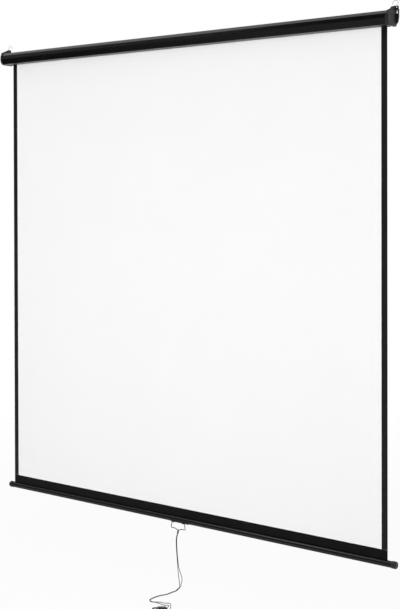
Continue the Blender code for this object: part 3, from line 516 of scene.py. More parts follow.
def turned(name, profile, centre, sides=32):
    """A round piece drawn out of a disc along X, its radius set anew at each step."""
    start, radius = profile[0]
    upright = (0.0, radians(90), 0.0)
    obj = disc(name, (start, centre.y, centre.z), upright, radius, sides)
    for x, size in profile[1:]:
        pull_out((x - start, 0.0, 0.0))
        share = size / radius
        spot = (x, centre.y, centre.z)
        bpy.ops.transform.resize(value=(1.0, share, share), center_override=spot)
        start = x
        radius = size
    end_shaping()
    return obj


def bent_wire(name, diameter, place, ahead, moves):
    """A round wire that runs straight or bends about an axis by each move in turn."""
    degrees_a_step = 11
    rotation = z_axis.rotation_difference(ahead).to_euler()
    obj = disc(name, place, rotation, diameter / 2, 16)
    for move in moves:
        if len(move) == 1:
            pull_out(ahead * move[0])
            place = place + ahead * move[0]
            continue
        radius, bend, axis = move
        centre = place + axis.cross(ahead) * radius
        steps = max(2, ceil(bend / degrees_a_step))
        angle = radians(bend)
        bpy.ops.mesh.spin(steps=steps, angle=-angle, center=centre, axis=axis)
        turn = Matrix.Rotation(angle, 3, axis)
        place = centre + turn @ (place - centre)
        ahead = turn @ ahead
    end_shaping()
    return obj


def moves_through(corners, radius):
    """The runs and bends that take a wire past corners in the XZ plane."""
    moves = []
    spent = 0.0
    for before, corner, after in zip(corners, corners[1:], corners[2:]):
        back = corner - before
        ahead = after - corner
        turn = back.angle(ahead)
        reach = radius * tan(turn / 2)
        moves.append((back.length - reach - spent,))
        side = copysign(1.0, back.x * ahead.z - back.z * ahead.x)
        moves.append((radius, degrees(turn), -side * y_axis))
        spent = reach
    moves.append(((corners[-1] - corners[-2]).length - spent,))
    return moves


def apply_modifier(obj, kind, **settings):
    """Add a modifier, set it and apply it."""
    work_on(obj)
    bpy.ops.object.modifier_add(type=kind)
    modifier = obj.modifiers[-1]
    for key, value in settings.items():
        setattr(modifier, key, value)
    bpy.ops.object.modifier_apply(modifier=modifier.name)


def thicken(obj, thickness, offset=0.0):
    """Give a sheet its thickness: an offset of 0 to both sides of it, -1 inwards and evenly."""
    even = offset != 0.0
    apply_modifier(obj, "SOLIDIFY", thickness=thickness, offset=offset, use_even_offset=even)


def smooth(obj, angle=35.0, weighted=True):
    """Smooth the round faces and keep the flat ones flat."""
    work_on(obj)
    bpy.ops.object.shade_smooth_by_angle(angle=radians(angle))
    if weighted:
        apply_modifier(obj, "WEIGHTED_NORMAL", keep_sharp=True, weight=80)


def soften(obj, width, angle=28.0):
    """Round all sharp edges a little."""
    limit = {"limit_method": "ANGLE", "angle_limit": radians(angle)}
    apply_modifier(obj, "BEVEL", width=width, segments=2, use_clamp_overlap=True, **limit)


def placed(name, data):
    """A new object in the scene."""
    obj = bpy.data.objects.new(name, data)
    bpy.context.scene.collection.objects.link(obj)
    return obj


def copied(source, name):
    """A copy with its own mesh."""
    obj = placed(name, source.data.copy())
    obj.data.name = name
    return obj


def refined(node_name, name):
    """A copy of a CAD node with its triangles merged into faces and its edges rounded."""
    obj = copied(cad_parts[node_name], name)
    obj.data.materials.clear()
    start_shaping(obj)
    bpy.ops.mesh.customdata_custom_splitnormals_clear()
    bpy.ops.mesh.remove_doubles(threshold=slack)
    bpy.ops.mesh.dissolve_limited(angle_limit=radians(2))
    end_shaping()
    soften(obj, bpy.context.scene.screen_case.moulded_edge)
    smooth(obj)
    return obj


def fit(obj, body, maker, *nodes):
    """Finish a piece and make it ride on its body in place of its CAD nodes."""
    if not obj.data.materials:
        obj.data.materials.append(finished(maker))
    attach(obj, body)
    if nodes:
        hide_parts(*nodes)
    return obj


# The stage


def add_camera():
    """The photograph's viewpoint, a little under the case and to its right."""
    picture_height = 609.0
    focal = 1165.5
    horizon = 210.58
    data = bpy.data.cameras.new("camera")
    data.lens = focal / picture_height * data.sensor_width
    data.shift_y = -(picture_height / 2 - horizon) / picture_height
    data.clip_start = 0.01
    camera = placed("camera", data)
    yaw = Matrix.Rotation(radians(37.65), 3, "Z")
    pitch = Matrix.Rotation(radians(90 - 0.569), 3, "X")
    roll = Matrix.Rotation(radians(-0.134), 3, "Z")
    camera.rotation_euler = (yaw @ pitch @ roll).to_euler()
    camera.location = (3.142, -3.93, -0.6755)
    bpy.context.scene.camera = camera


def add_lamp(name, place, target, size, power):
    """A square lamp that lights the piece and doesn't show in its gloss."""
    data = bpy.data.lights.new(name, "AREA")
    data.size = size
    data.energy = power
    lamp = placed(name, data)
    lamp.location = place
    lamp.visible_glossy = False
    aim = Vector(target) - Vector(place)
    lamp.rotation_euler = aim.to_track_quat("-Z", "Y").to_euler()
    return lamp


def light_world():
    """White to the eye, plain light on the piece, and a studio's pale and dark sides in gloss."""
    plain_light = 0.28
    finish = Finish("studio", "worlds")
    bpy.context.scene.world = finish.block
    x, y, z = finish.axes(finish.node("TexCoord", output="Generated"))
    upper_left = finish.spread(x, 1.0, 0.0, -0.75, -0.5) * finish.spread(z, 0.0, 1.0, 0.05, 0.25)
    lower_front = finish.spread(y, 1.0, 0.0, -0.88, -0.72) * finish.spread(z, 1.0, 0.0, 0.08, 0.3)
    above = finish.spread(z, 0.0, 1.0, 0.3, 0.62)
    behind = finish.spread(y, 0.0, 1.0, -0.3, 0.1)
    pale_sides = (upper_left * 0.34 + lower_front * 0.26 + 0.04).or_more(above).or_more(behind)
    path = finish.node("LightPath", output="Is Camera Ray")
    seen = path.or_more(path.output("Is Transmission Ray"))
    plain, gloss, white = [
        finish.node("Background", {"Color": (1, 1, 1, 1), "Strength": strength})
        for strength in (plain_light, pale_sides, 1.0)
    ]
    lit = finish.either(path.output("Is Glossy Ray"), plain, gloss)
    both = finish.either(seen, lit, white)
    finish.node("OutputWorld", {"Surface": both})


def pale_floor(finish):
    """A white floor that glows to the eye, most of all far away, and keeps a soft shadow."""
    white = finish.shade((0.86, 0.86, 0.86), finish.noise(2.0, 2.0), 0.01)
    matte = finish.node("BsdfDiffuse", {"Color": white})
    glow = finish.node("Emission", {"Color": (1.0, 1.0, 1.0, 1.0), "Strength": 1.0})
    path = finish.node("LightPath", output="Is Camera Ray")
    seen = path.or_more(path.output("Is Glossy Ray"))
    middle = finish.place()
    away = finish.node("VectorMath", {0: middle}, {"operation": "LENGTH"}, "Value")
    both = finish.either(seen * finish.spread(away, 0.95, 1.0, 2.6, 5.0), matte, glow)
    finish.node("OutputMaterial", {"Surface": both})
    return finish.block


class SCREEN_OT_stage(Operator):
    """Set up the camera, the lamps, the world and the floor"""

    bl_idname = "screen.stage"
    bl_label = "Stage"

    def execute(self, context):
        add_camera()
        light_world()
        add_lamp("key", (-1.8, -5.0, -0.9), (0.0, 0.0, -1.0), 2.6, 118.0)
        add_lamp("fill", (2.6, -4.4, -0.4), (0.3, 0.0, -0.9), 2.4, 92.0)
        shine = add_lamp("shine", (-1.8, -1.8, 1.5), (0.5, 0.0, -2.2), 1.4, 22.0)
        shine.visible_glossy = True
        shine.visible_diffuse = False
        clear_selection()
        bpy.ops.mesh.primitive_grid_add(
            x_subdivisions=4, y_subdivisions=4, size=24.0, location=(0.0, 0.0, floor_level)
        )
        floor = fresh_piece("floor")
        floor.data.materials.append(finished(pale_floor))
        return {"FINISHED"}


# The pull cord: its knot, two strands, and a hank of loops with turns of cord round them

strand_pitch = cord_diameter + 0.001
cord_floor = floor_level + cord_diameter / 2
knot_radius = 1.25 * cord_diameter
knot_ball = notch_place + Vector((-0.001, -0.001, -0.0033 - 0.9 * knot_radius))
hank_centre = (0.141, -0.2939)
hank_heading = radians(37.7)
hank_half = 0.021
hank_fold = 0.0084
hank_pitch = 0.0033
hank_layers = 4
wrap_turns = 7
wrap_pitch = 0.0046
wrap_bend = 0.0057
wrap_start = -0.0186
wrap_climb = 0.0094
wrap_seat = (cord_diameter + 0.00045 + (sqrt(2) - 1) * wrap_bend) / sqrt(2)
wrap_far = hank_fold + hank_pitch + wrap_seat
wrap_near = wrap_far - hank_pitch / 2
wrap_top = 2 * wrap_seat + (hank_layers - 1) * hank_pitch
wrap_first = wrap_start + gap + wrap_climb
wrap_last = wrap_first + wrap_turns * wrap_pitch
wrap_end = (wrap_last, wrap_far - wrap_bend - 0.006, wrap_top)


def smooth_through(points, steps=6):
    """Points of a smooth curve through the given ones."""
    control = [2 * points[0] - points[1], *points, 2 * points[-1] - points[-2]]
    fine = []
    for before, start, end, after in zip(control, control[1:], control[2:], control[3:]):
        slope = end - before
        bend = 2 * before - 5 * start + 4 * end - after
        twist = 3 * start - before - 3 * end + after
        for i in range(steps):
            t = i / steps
            fine.append(0.5 * (2 * start + slope * t + bend * t**2 + twist * t**3))
    return fine + [points[-1]]


def tube(name, path, diameter, sides=12):
    """A round tube on a path, with UVs that run once round it and along it in metres."""
    mesh = bpy.data.meshes.new(name)
    bm = bmesh.new()
    ahead = [(b - a).normalized() for a, b in zip(path, path[1:])]
    ahead.append(ahead[-1])
    side = ahead[0].orthogonal().normalized()
    rings = []
    walked = [0.0]
    for i, point in enumerate(path):
        along = (ahead[max(i - 1, 0)] + ahead[i]).normalized()
        side = (side - along * side.dot(along)).normalized()
        other = along.cross(side)
        spokes = [side * y + other * z for y, z in arc((0.0, 0.0), 1.0, 0, 360, sides)[:-1]]
        rings.append([bm.verts.new(point + spoke * diameter / 2) for spoke in spokes])
        if i:
            walked.append(walked[-1] + (point - path[i - 1]).length)
    uv = bm.loops.layers.uv.new("UVMap")
    for i in range(len(rings) - 1):
        for j in range(sides):
            k = (j + 1) % sides
            face = bm.faces.new((rings[i][j], rings[i][k], rings[i + 1][k], rings[i + 1][j]))
            face.smooth = True
            places = ((j, i), (j + 1, i), (j + 1, i + 1), (j, i + 1))
            for loop, (a, b) in zip(face.loops, places):
                loop[uv].uv = (a / sides, walked[b])
    bm.faces.new(rings[0][::-1])
    bm.faces.new(rings[-1])
    bm.to_mesh(mesh)
    bm.free()
    return placed(name, mesh)


def arc(centre, radius, start, end, steps):
    """Points on an arc in a plane, in degrees anticlockwise from the first axis."""
    turns = [radians(start + (end - start) * i / steps) for i in range(steps + 1)]
    return [(centre[0] + radius * cos(t), centre[1] + radius * sin(t)) for t in turns]


def beside(route, offset):
    """The points of a route on the floor moved to its left, in metres."""
    moved = []
    for i, point in enumerate(route):
        ahead = route[min(i + 1, len(route) - 1)] - route[max(i - 1, 0)]
        normal = Vector((-ahead.y, ahead.x, 0.0)).normalized()
        moved.append(point + normal * offset)
    return moved


def cord_place(x, y, z=cord_floor):
    """A point of the cord, given from the bail's ears to the right and away from the viewer."""
    return Vector((handle_x + x, ear_y + y, z))


def cord_places(points):
    return [cord_place(*point) for point in points]


def hank_place(x, y, z):
    """A point of the hank, given along it, across it away from the viewer and over the floor."""
    along = Vector((cos(hank_heading), sin(hank_heading), 0.0))
    across = Vector((-along.y, along.x, 0.0))
    return cord_place(*hank_centre) + along * x + across * y + z_axis * z


def hank_places(points):
    return [hank_place(*point) for point in points]


hanging_route = [
    (-0.0054, -0.0029, -2.129),
    (-0.0063, -0.0045, -2.1475),
    (-0.0039, -0.005, -2.1875),
    (0.0007, -0.0059, -2.2275),
]
floor_route = [(0.0261, -0.0326), (0.0351, -0.0608), (0.0327, -0.0848), (0.0316, -0.1169)]
floor_route += [(0.0188, -0.1469), (0.0152, -0.1727), (0.0151, -0.1973)]
floor_route += [(0.02, -0.2134), (0.0384, -0.225), (0.054, -0.2192)]


def strand(side, fall, run_in):
    """A strand from the knot, beside the other one in the air and on the floor, to the hank."""
    apart = side * strand_pitch / 2
    top = knot_ball + Vector((0.0, apart, -knot_radius - gap))
    points = [top, top + Vector((-0.001, -0.0004, -cord_diameter))]
    points += cord_places([(x, y + apart, z) for x, y, z in hanging_route])
    points += cord_places(fall)
    points += beside(cord_places(floor_route), apart)
    return points + cord_places(run_in)


def strand_a_points():
    """The strand that bows out over the floor and runs into the hank."""
    bow = [(0.0093, -0.0062, -2.2635), (0.0245, -0.0089, -2.2915), (0.0283, -0.0099, -2.306)]
    bow += [(0.0245, -0.0106, -2.3245), (0.023, -0.0149, -2.3365), (0.0245, -0.0234)]
    run_in = [(0.0742, -0.2068), (0.0938, -0.2053), (0.1076, -0.1948)]
    run_in += [(0.1262, -0.2059), (0.1349, -0.2199)]
    turn_in = 0.012
    start = 0.029
    beside_hank = [(0.0415, 0.045, 0.0), (0.041, 0.032, 0.0006)]
    for x, y in arc((start, hank_fold + hank_pitch + turn_in), turn_in, 0, -90, 3):
        beside_hank.append((x, y, wrap_seat * (start + turn_in - x) / turn_in))
    return strand(1, bow, run_in) + hank_places(beside_hank)


def strand_b_points():
    """The strand that hangs straighter and leaves the last turn round the hank."""
    fall = [(0.0046, -0.0086, -2.2625), (0.0086, -0.0099, -2.2895), (0.0135, -0.0106, -2.314)]
    fall += [(0.0175, -0.0124, -2.3345), (0.02, -0.0194)]
    run_in = [(0.071, -0.2214), (0.0886, -0.2242), (0.1083, -0.2255), (0.1149, -0.2174)]
    beside_hank = [(0.0318, 0.0735, 0.0), (0.034, 0.0665, 0.0), (0.031, 0.056, 0.0)]
    beside_hank += [(0.0275, 0.043, 0.0), (0.0255, 0.033, 0.003), (0.0245, 0.026, 0.008)]
    x, y, z = wrap_end
    beside_hank += [(x + 0.0006, y + 0.012, z - 0.0045), (x, y + 0.005, z - 0.0002)]
    return strand(-1, fall, run_in) + hank_places(beside_hank)


def layer_height(layer):
    """Height of one of the hank's layers over the cord's own height on the floor."""
    return wrap_seat + layer * hank_pitch


def fold_points(side, start, end, height):
    """Half a turn at one end of the hank, its radius going from one loop's place to another's."""
    steps = 8
    points = []
    for i in range(steps + 1):
        t = i / steps
        radius = hank_fold + hank_pitch * (start + (end - start) * t)
        angle = radians(180 * t - 90 * side)
        x = side * hank_half + radius * cos(angle)
        points.append((x, radius * sin(angle), height))
    return points


def hank_points():
    """Long loops that spiral in and out in layers, from the outside at the right end."""
    middle = 0.5
    climb = 3.2
    points = [(hank_half + 0.0075, hank_fold + hank_pitch, layer_height(0))]
    for layer in range(hank_layers):
        start = 1.0 - layer % 2
        low = layer_height(max(layer - 1, 0))
        high = layer_height(layer)
        for i in range(4):
            x = hank_half * (1 - i / 2)
            height = low + (high - low) * i / climb if i < 3 else high
            points.append((x, hank_fold + hank_pitch * start, height))
        points += fold_points(-1, start, middle, high)
        if layer < hank_layers - 1:
            for i in range(1, 4):
                points.append((hank_half * (i / 2 - 1), -hank_fold - hank_pitch * middle, high))
            points += fold_points(1, middle, 1.0 - start, high)[:-1]
    points.append((wrap_start, -hank_fold - hank_pitch * middle, layer_height(hank_layers - 1)))
    return hank_places(points)


def wrap_points():
    """The turns that hold the hank together, each a rounded rectangle round its loops."""
    low = -hank_fold - hank_pitch / 2
    level = layer_height(hank_layers - 1)
    x = wrap_start + gap
    points = [(x + cord_diameter, low, level), (x + 0.0062, low + 0.0012, level + 0.0022)]
    points.append((x + 0.0085, low + 0.0042, wrap_top - 0.0004))
    far = wrap_far - wrap_bend
    near_side = wrap_bend - wrap_near
    top = wrap_top - wrap_bend
    loop = [(0.0, wrap_top)]
    loop += arc((far, top), wrap_bend, 90, 0, 4) + arc((far, wrap_bend), wrap_bend, 0, -90, 4)
    loop.append((0.0, 0.0))
    loop += arc((near_side, wrap_bend), wrap_bend, -90, -180, 4)
    loop += arc((near_side, top), wrap_bend, 180, 90, 4)
    for turn in range(wrap_turns):
        for i, (y, z) in enumerate(loop):
            points.append((wrap_first + (turn + i / len(loop)) * wrap_pitch, y, z))
    return hank_places(points + [(wrap_last, 0.0, wrap_top), wrap_end])


def make_knot():
    """An overhand knot drawn up under the bail's notch, and the loop of cord round the wire."""
    size = 0.0015
    flattening = 0.85
    sink = 0.0008
    lean = 0.0011
    loop_steps = 28
    steps = 96
    knot_path = []
    for i in range(steps + 1):
        t = 2 * pi * i / steps
        x = size * (sin(t) + 2 * sin(2 * t))
        y = -size * sin(3 * t)
        z = size * (cos(t) - 2 * cos(2 * t)) * flattening
        knot_path.append(knot_ball + Vector((x, y, z - sink)))
    loop_radius = (bpy.context.scene.screen_cord.bail + cord_diameter) / 2 + gap
    loop_path = []
    for i, (y, z) in enumerate(arc((0.0, 0.0), loop_radius, -100, 280, loop_steps)):
        x = lean * (2 * i / loop_steps - 1)
        loop_path.append(notch_place + Vector((x, y, z)))
    knot = tube("pull_knot", knot_path, cord_diameter)
    loop = tube("knot_loop", loop_path, cord_diameter)
    work_on(knot)
    loop.select_set(True)
    bpy.ops.object.join()
    return knot


class SCREEN_OT_cord(Operator):
    """Knot the doubled cord to the bail, let it down to the floor and wind its hank"""

    bl_idname = "screen.cord"
    bl_label = "Pull Cord"

    def execute(self, context):
        knot = fit(make_knot(), "cord", braided_cord, "cord_knot")
        points = strand_a_points() + hank_points() + wrap_points() + strand_b_points()[::-1]
        path = smooth_through(points)
        cord = fit(tube("pull_cord", path, cord_diameter), "cord", braided_cord)
        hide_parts("cord_strand_a", "cord_strand_b", "cord_hank", "hank_wrap")
        return {"FINISHED"}


# The cloth


def hung_sheet(name, low, high, rows):
    """A flat upright sheet cut into even rows, in edit mode and still without thickness."""
    height = high.z - low.z
    place = (0.0, cloth_y, (low.z + high.z) / 2)
    sheet = strip(name, place, high.x - low.x, height, 90)
    for i in range(1, rows):
        cut(z_axis, low.z + height * i / rows)
    return sheet


class SCREEN_OT_viewing_sheet(Operator):
    """Hang the white viewing sheet with its black side borders and backing"""

    bl_idname = "screen.viewing_sheet"
    bl_label = "Viewing Sheet"

    def execute(self, context):
        sizes = context.scene.screen_cloth
        sheet = hung_sheet("viewing_sheet", cloth_low, cloth_high, 16)
        inner = cloth_high.x - sizes.border
        for share in (-1.0, -0.6, -0.2, 0.2, 0.6, 1.0):
            cut(x_axis, share * inner)
        thicken(sheet, sizes.thickness)
        for maker in (screen_face, screen_border, screen_back):
            sheet.data.materials.append(finished(maker))
        for face in sheet.data.polygons:
            face.material_index = 1
            if face.normal.y > 0.5:
                face.material_index = 2
            elif face.normal.y < -0.5 and abs(face.center.x) < inner:
                face.material_index = 0
        fit(sheet, "bar", screen_face, "viewing_fabric")
        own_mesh(sheet)
        return {"FINISHED"}


class SCREEN_OT_bottom_drop(Operator):
    """Hang the black drop under the white sheet and turn its hem round the rod in the bar"""

    bl_idname = "screen.bottom_drop"
    bl_label = "Bottom Drop"

    def execute(self, context):
        thickness = context.scene.screen_cloth.thickness
        hem_start = 75
        hem_end = -215
        low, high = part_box("bottom_leader")
        rod_low, rod_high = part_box("hem_rod")
        rod = (rod_low + rod_high) / 2
        loop = (rod_high.z - rod_low.z) / 2 + gap + thickness / 2
        low.z = rod.z + loop + 2 * gap
        drop = hung_sheet("bottom_drop", low, high, 3)
        pick(drop, "EDGE", at(z=low.z))
        hem = arc((rod.y, rod.z), loop, hem_start, hem_end, 24)
        pull_along([Vector((0.0, y, z)) for y, z in [(cloth_y, low.z), *hem]])
        thicken(drop, thickness)
        smooth(drop, 40.0, weighted=False)
        fit(drop, "bar", screen_drop, "bottom_leader")
        return {"FINISHED"}


class SCREEN_OT_winding(Operator):
    """Wind the last turns of cloth on the roller"""

    bl_idname = "screen.winding"
    bl_label = "Winding"

    def execute(self, context):
        winds = context.scene.screen_cloth.winds
        low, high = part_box("wound_fabric")
        tube_low, tube_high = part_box("roller_tube")
        centre = (tube_low + tube_high) / 2
        inner = (tube_high.z - tube_low.z) / 2
        room = (high.z - low.z) / 2 - inner
        inside = 0.0004
        outside = 0.0001
        fullness = 0.8
        start_width = 0.001
        steps_a_turn = 30
        steps = steps_a_turn * winds
        points = []
        for i in range(steps + 1):
            t = radians(-360 / steps_a_turn * i)
            radius = inner + inside + (room - inside - outside) * (1 - i / steps)
            y = centre.y + radius * cos(t)
            points.append(Vector((0.0, y, centre.z + radius * sin(t))))
        winding = strip("winding", points[0], high.x - low.x, start_width)
        pick(winding, "VERT", lambda co: co.y > points[0].y)
        bpy.ops.mesh.delete(type="VERT")
        bpy.ops.mesh.select_mode(type="EDGE")
        bpy.ops.mesh.select_all(action="SELECT")
        bpy.ops.transform.translate(value=(0.0, start_width / 2, 0.0))
        pull_along(points)
        thicken(winding, (room - gap) / (winds + 0.5) * fullness)
        smooth(winding, 40.0, weighted=False)
        fit(winding, "roller", screen_back, "wound_fabric")
        return {"FINISHED"}


# The case and its ends


class SCREEN_OT_case(Operator):
    """Bend the sheet case and leave its slot open at the back of the underside"""

    bl_idname = "screen.case"
    bl_label = "Case"

    def execute(self, context):
        sizes = context.scene.screen_case
        front = case_low.y
        top = case_high.z
        bottom = case_low.z
        crease = -0.0015
        near_front = -0.04
        over_crease = 0.005
        facet_lean = (0.0, 0.0015, 0.0)
        foot_lean = (0.0, 0.002, 0.0)
        back_chamfer = 0.005
        slot_lip = (0.0, 0.0, 0.006)
        slot_front = -0.0215
        slot_back = -0.0085
        case = block("case_shell", case_low, case_high)
        start_shaping(case)
        cut(z_axis, crease)
        pick(case, "EDGE", at(y=front, z=top))
        bpy.ops.mesh.bevel(offset=sizes.chamfer, segments=1, affect="EDGES")
        pick(case, "VERT", lambda co: co.y < near_front and co.z > over_crease)
        bpy.ops.transform.translate(value=facet_lean)
        pick(case, "VERT", at(y=front, z=bottom))
        bpy.ops.transform.translate(value=foot_lean)
        pick(case, "EDGE", at(y=case_high.y, z=bottom))
        bpy.ops.mesh.bevel(offset=back_chamfer, segments=1, affect="EDGES")
        for y in (slot_front, slot_back):
            cut(y_axis, y)
        for x in (case_high.x, case_low.x):
            take_off(case, at(x=x))

        def in_slot(co):
            return near(co.z, bottom) and slot_front - slack < co.y < slot_back + slack

        take_off(case, in_slot)
        pick(case, "EDGE", in_slot)
        pull_out(slot_lip)
        bpy.ops.mesh.select_all(action="SELECT")
        bpy.ops.mesh.dissolve_limited(angle_limit=radians(0.5))
        pick_parts(case, "EDGE", long_fold)
        bpy.ops.mesh.bevel(offset=sizes.bend, offset_type="WIDTH", segments=4, affect="EDGES")
        self.trim_corners(case)
        end_shaping()
        face_out(case, Vector((0.0, front - 1.0, 0.0)))
        thicken(case, sizes.sheet, -1.0)
        smooth(case, 40.0)
        fit(case, "case", case_enamel, "casing")
        return {"FINISHED"}

    def trim_corners(self, case):
        """Cut the front lower corners away where the rounded end caps go over them."""
        end = 1.0351
        corner_y = -0.04734
        corner_z = -0.00566
        for axis, place in ((x_axis, -end), (x_axis, end), (y_axis, corner_y), (z_axis, corner_z)):
            cut(axis, place)
        corner = Vector((end - slack, corner_y + slack, corner_z + slack))
        for side in (-1, 1):
            take_off(
                case, lambda co: co.x * side > corner.x and co.y < corner.y and co.z < corner.z
            )


def long_fold(edge):
    """Whether an edge runs along the case between two of its faces."""
    first, second = edge.verts
    return len(edge.link_faces) == 2 and abs(first.co.x - second.co.x) > 1.0


def face_out(obj, viewpoint):
    """Turn an open shell's faces so that the nearest one looks at a point outside."""
    nearest = min(obj.data.polygons, key=lambda face: (face.center - viewpoint).length)
    if nearest.normal.dot(viewpoint - nearest.center) < 0:
        obj.data.flip_normals()


class SCREEN_OT_end_caps(Operator):
    """Mould the two end caps with their hook tabs and keyhole ears"""

    bl_idname = "screen.end_caps"
    bl_label = "End Caps"

    def execute(self, context):
        for end in ends:
            node = f"{end}_end_cap"
            fit(refined(node, f"{end}_cap"), "case", moulded_plastic, node)
        return {"FINISHED"}


def screw(name, radius, head_radius, head_height, length):
    """A pan-head screw with a cross recess, its head's seat at the origin and its tip along -X."""
    profile = [(-length, radius * 0.3), (-length + radius, radius), (0.0, radius)]
    profile.append((0.0, head_radius))
    for i in range(1, 5):
        t = radians(20 * i)
        profile.append((head_height * sin(t) ** 0.8, head_radius * cos(t) ** 0.6))
    obj = turned(name, profile, Vector(), 24)
    middle = x_axis * (head_height * 1.05)
    deep, long, wide = (head_height * 0.7, head_radius * 0.62, head_radius * 0.13)
    for half in (Vector((deep, long, wide)), Vector((deep, wide, long))):
        arm = block(f"{name}_arm", middle - half, middle + half)
        apply_modifier(obj, "BOOLEAN", operation="DIFFERENCE", object=arm, solver="EXACT")
        bpy.data.objects.remove(arm)
    smooth(obj, 32.0)
    return obj


class SCREEN_OT_screws(Operator):
    """Set the cap screws over and under the case and the two clip screws"""

    bl_idname = "screen.screws"
    bl_label = "Screws"

    cap_head = 0.0021
    clip_head = 0.0013

    def execute(self, context):
        large = screw("large_screw", 0.0015, 0.0033, self.cap_head, 0.0075)
        small = screw("small_screw", 0.0014, 0.0028, self.clip_head, 0.0055)
        for end in ends:
            for place, up in (("top", self.cap_head), ("bottom", -self.cap_head)):
                screwed = copied(large, f"{end}_{place}_screw")
                self.stand(screwed, up, "case", f"{end}_cap_screw_{place}")
            screwed = copied(small, f"{end}_screw_of_clip")
            self.stand(screwed, -self.clip_head, "bar", f"{end}_clip_screw")
        for obj in (large, small):
            bpy.data.objects.remove(obj)
        return {"FINISHED"}

    def stand(self, obj, up, body, node):
        """Put a screw in its node's place, its head's height given upwards."""
        low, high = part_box(node)
        seat = (low + high) / 2
        seat.z = (high.z if up > 0 else low.z) - up
        turn = Matrix.Rotation(radians(copysign(90, -up)), 4, "Y")
        obj.data.transform(Matrix.Translation(seat) @ turn)
        fit(obj, body, zinc_plate, node)


class SCREEN_OT_hooks(Operator):
    """Bend the two hanging hooks with their quarter turn"""

    bl_idname = "screen.hooks"
    bl_label = "Hooks"

    def execute(self, context):
        hole_x, hole_y, hole_z = 1.05, -0.00525, 0.048321
        foot = 0.0035
        foot_bend = 195.0
        lean = 0.006
        crook = 0.0115
        crook_bend = 200.0
        set_over = (0.004473, 50.0)
        straight = 0.004896
        start_turn = Matrix.Rotation(radians(15), 3, "X")
        for end, side in ends.items():
            hole = Vector((side * hole_x, hole_y, hole_z))
            axis = z_axis.cross(Vector((side * lean, foot, 0.0))).normalized()
            start = hole + start_turn @ (y_axis * foot)
            moves = [(foot, foot_bend, -x_axis)]
            moves += [(*set_over, axis), (straight,), (*set_over, -axis)]
            moves += [(crook, crook_bend, -side * y_axis)]
            wire = context.scene.screen_cord.hook
            hook = bent_wire(f"{end}_hook", wire, start, start_turn @ -z_axis, moves)
            soften(hook, 0.0004)
            smooth(hook)
            fit(hook, f"{end}_hook", zinc_plate, f"{end}_s_hook")
        return {"FINISHED"}


# The bar, its clip and the bail


class SCREEN_OT_bar(Operator):
    """Draw the slotted bar tube and turn its two end caps"""

    bl_idname = "screen.bar"
    bl_label = "Weight Bar"

    def execute(self, context):
        half_slot = 0.0015
        wall = 0.0014
        clear_selection()
        bpy.ops.mesh.primitive_cylinder_add(
            vertices=64,
            radius=bar_radius,
            depth=bar_high.x - bar_low.x,
            end_fill_type="NOTHING",
            location=((bar_low.x + bar_high.x) / 2, bar_centre.y, bar_centre.z),
            rotation=(0.0, radians(90), 0.0),
        )
        bar = fresh_piece("bar_tube")
        start_shaping(bar)
        for side in (-1, 1):
            cut(y_axis, bar_centre.y + side * half_slot)
        edge = half_slot + slack
        take_off(bar, lambda co: abs(co.y - bar_centre.y) < edge and co.z > bar_centre.z)
        end_shaping()
        face_out(bar, bar_centre - y_axis)
        thicken(bar, wall, -1.0)
        soften(bar, 0.0002, 50.0)
        smooth(bar)
        fit(bar, "bar", satin_enamel, "weight_bar")
        for end, side in ends.items():
            self.cap(end, side)
        return {"FINISHED"}

    def cap(self, end, side):
        """One moulded cap: its socket, a shallow groove round it and its rounded end."""
        low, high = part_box(f"{end}_bar_cap")
        radius = (high.z - low.z) / 2
        lip, outer = (high.x, low.x) if side < 0 else (low.x, high.x)
        edge = 0.0004
        rounding = 0.005
        dimple = 0.003
        end_wall = 0.0135
        groove_in = 0.0085
        socket = bar_radius + gap
        floor = outer - side * (end_wall - gap)
        groove = lip + side * groove_in
        profile = [(floor, bar_radius), (floor, socket), (lip, socket)]
        profile += [(lip, radius - edge), (lip + side * edge, radius)]
        for along, depth in ((0.0, 0.0), (gap, gap), (3 * gap, gap), (4 * gap, 0.0)):
            profile.append((groove + side * along, radius - depth))
        for a, r in arc((0.0, 0.0), rounding, 90, 0, 6):
            profile.append((outer - side * (rounding - a), radius - rounding + r))
        profile += [(outer, dimple), (outer - side * edge, dimple - edge)]
        cap = turned(f"{end}_cap_of_bar", profile, (low + high) / 2, 40)
        smooth(cap)
        fit(cap, "bar", moulded_plastic, f"{end}_bar_cap")


class SCREEN_OT_clip(Operator):
    """Mould the clip that holds the bail under the bar"""

    bl_idname = "screen.clip"
    bl_label = "Pull Clip"

    def execute(self, context):
        fit(refined("pull_clip", "clip_saddle"), "bar", moulded_plastic, "pull_clip")
        return {"FINISHED"}


class SCREEN_OT_bail(Operator):
    """Bend the wire bail that hangs in the clip's ears"""

    bl_idname = "screen.bail"
    bl_label = "Bail"

    def execute(self, context):
        wire = context.scene.screen_cord.bail
        inner = 0.022
        outer = 0.034
        width = 0.081
        half = (width - wire) / 2
        shoulder = 0.015
        bend = 0.0045
        drop = -0.027
        right = [(inner, 0.0), (outer, 0.0), (half, drop), (shoulder, drop), (0.0, -notch_drop)]
        corners = right + [(-x, z) for x, z in right[-2::-1]]
        corners = [Vector((x, 0.0, z)) for x, z in corners]
        moves = moves_through(corners, bend)
        bail = bent_wire("bail", wire, ear_place + corners[0], x_axis, moves)
        soften(bail, 0.0005)
        smooth(bail)
        fit(bail, "bail", coated_wire, "wire_bail")
        return {"FINISHED"}


# Everything that works out of sight inside the case


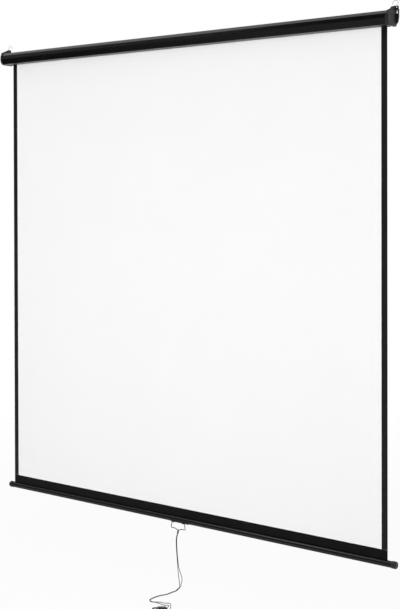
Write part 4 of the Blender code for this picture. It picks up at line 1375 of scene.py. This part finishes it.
class SCREEN_OT_mechanism(Operator):
    """Finish the roller, its spring and its ratchet, which keep their CAD shapes"""

    bl_idname = "screen.mechanism"
    bl_label = "Roller Works"

    def execute(self, context):
        makers = {
            "steel": turned_steel,
            "nylon": natural_nylon,
            "zinc": zinc_plate,
            "black_plastic": moulded_plastic,
            "black_enamel": gloss_enamel,
        }
        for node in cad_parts.values():
            for slot in node.material_slots:
                kind = slot.material.name.split(".")[0]
                if kind in makers:
                    slot.material = finished(makers[kind])
        return {"FINISHED"}


class SCREEN_PT_bench(Panel):
    """Lists the steps that build the screen"""

    bl_idname = "SCREEN_PT_bench"
    bl_label = "Projection Screen"
    bl_space_type = "VIEW_3D"
    bl_region_type = "UI"
    bl_category = "Screen"

    def draw(self, context):
        for group in groups:
            box = self.layout.box()
            settings = getattr(context.scene, group)
            for name in settings.__annotations__:
                box.prop(settings, name)
        for step in steps:
            self.layout.operator(step.bl_idname)


steps = (
    SCREEN_OT_stage,
    SCREEN_OT_cord,
    SCREEN_OT_viewing_sheet,
    SCREEN_OT_bottom_drop,
    SCREEN_OT_winding,
    SCREEN_OT_case,
    SCREEN_OT_end_caps,
    SCREEN_OT_screws,
    SCREEN_OT_hooks,
    SCREEN_OT_bar,
    SCREEN_OT_clip,
    SCREEN_OT_bail,
    SCREEN_OT_mechanism,
)
groups = {
    "screen_case": CaseSizes,
    "screen_cloth": ClothSizes,
    "screen_cord": CordSizes,
    "screen_colours": FinishColours,
}


def register():
    for kind in (*groups.values(), *steps, SCREEN_PT_bench):
        bpy.utils.register_class(kind)
    for name, kind in groups.items():
        setattr(bpy.types.Scene, name, PointerProperty(type=kind))


def unregister():
    for name in groups:
        delattr(bpy.types.Scene, name)
    for kind in (SCREEN_PT_bench, *reversed(steps), *groups.values()):
        bpy.utils.unregister_class(kind)


def plain(box):
    return [list(corner) for corner in box]


def main():
    register()
    view = bpy.context.scene.view_settings
    view.view_transform = "Standard"
    for step in steps:
        group, name = step.bl_idname.split(".")
        getattr(getattr(bpy.ops, group), name)()


if __name__ == "__main__":
    main()
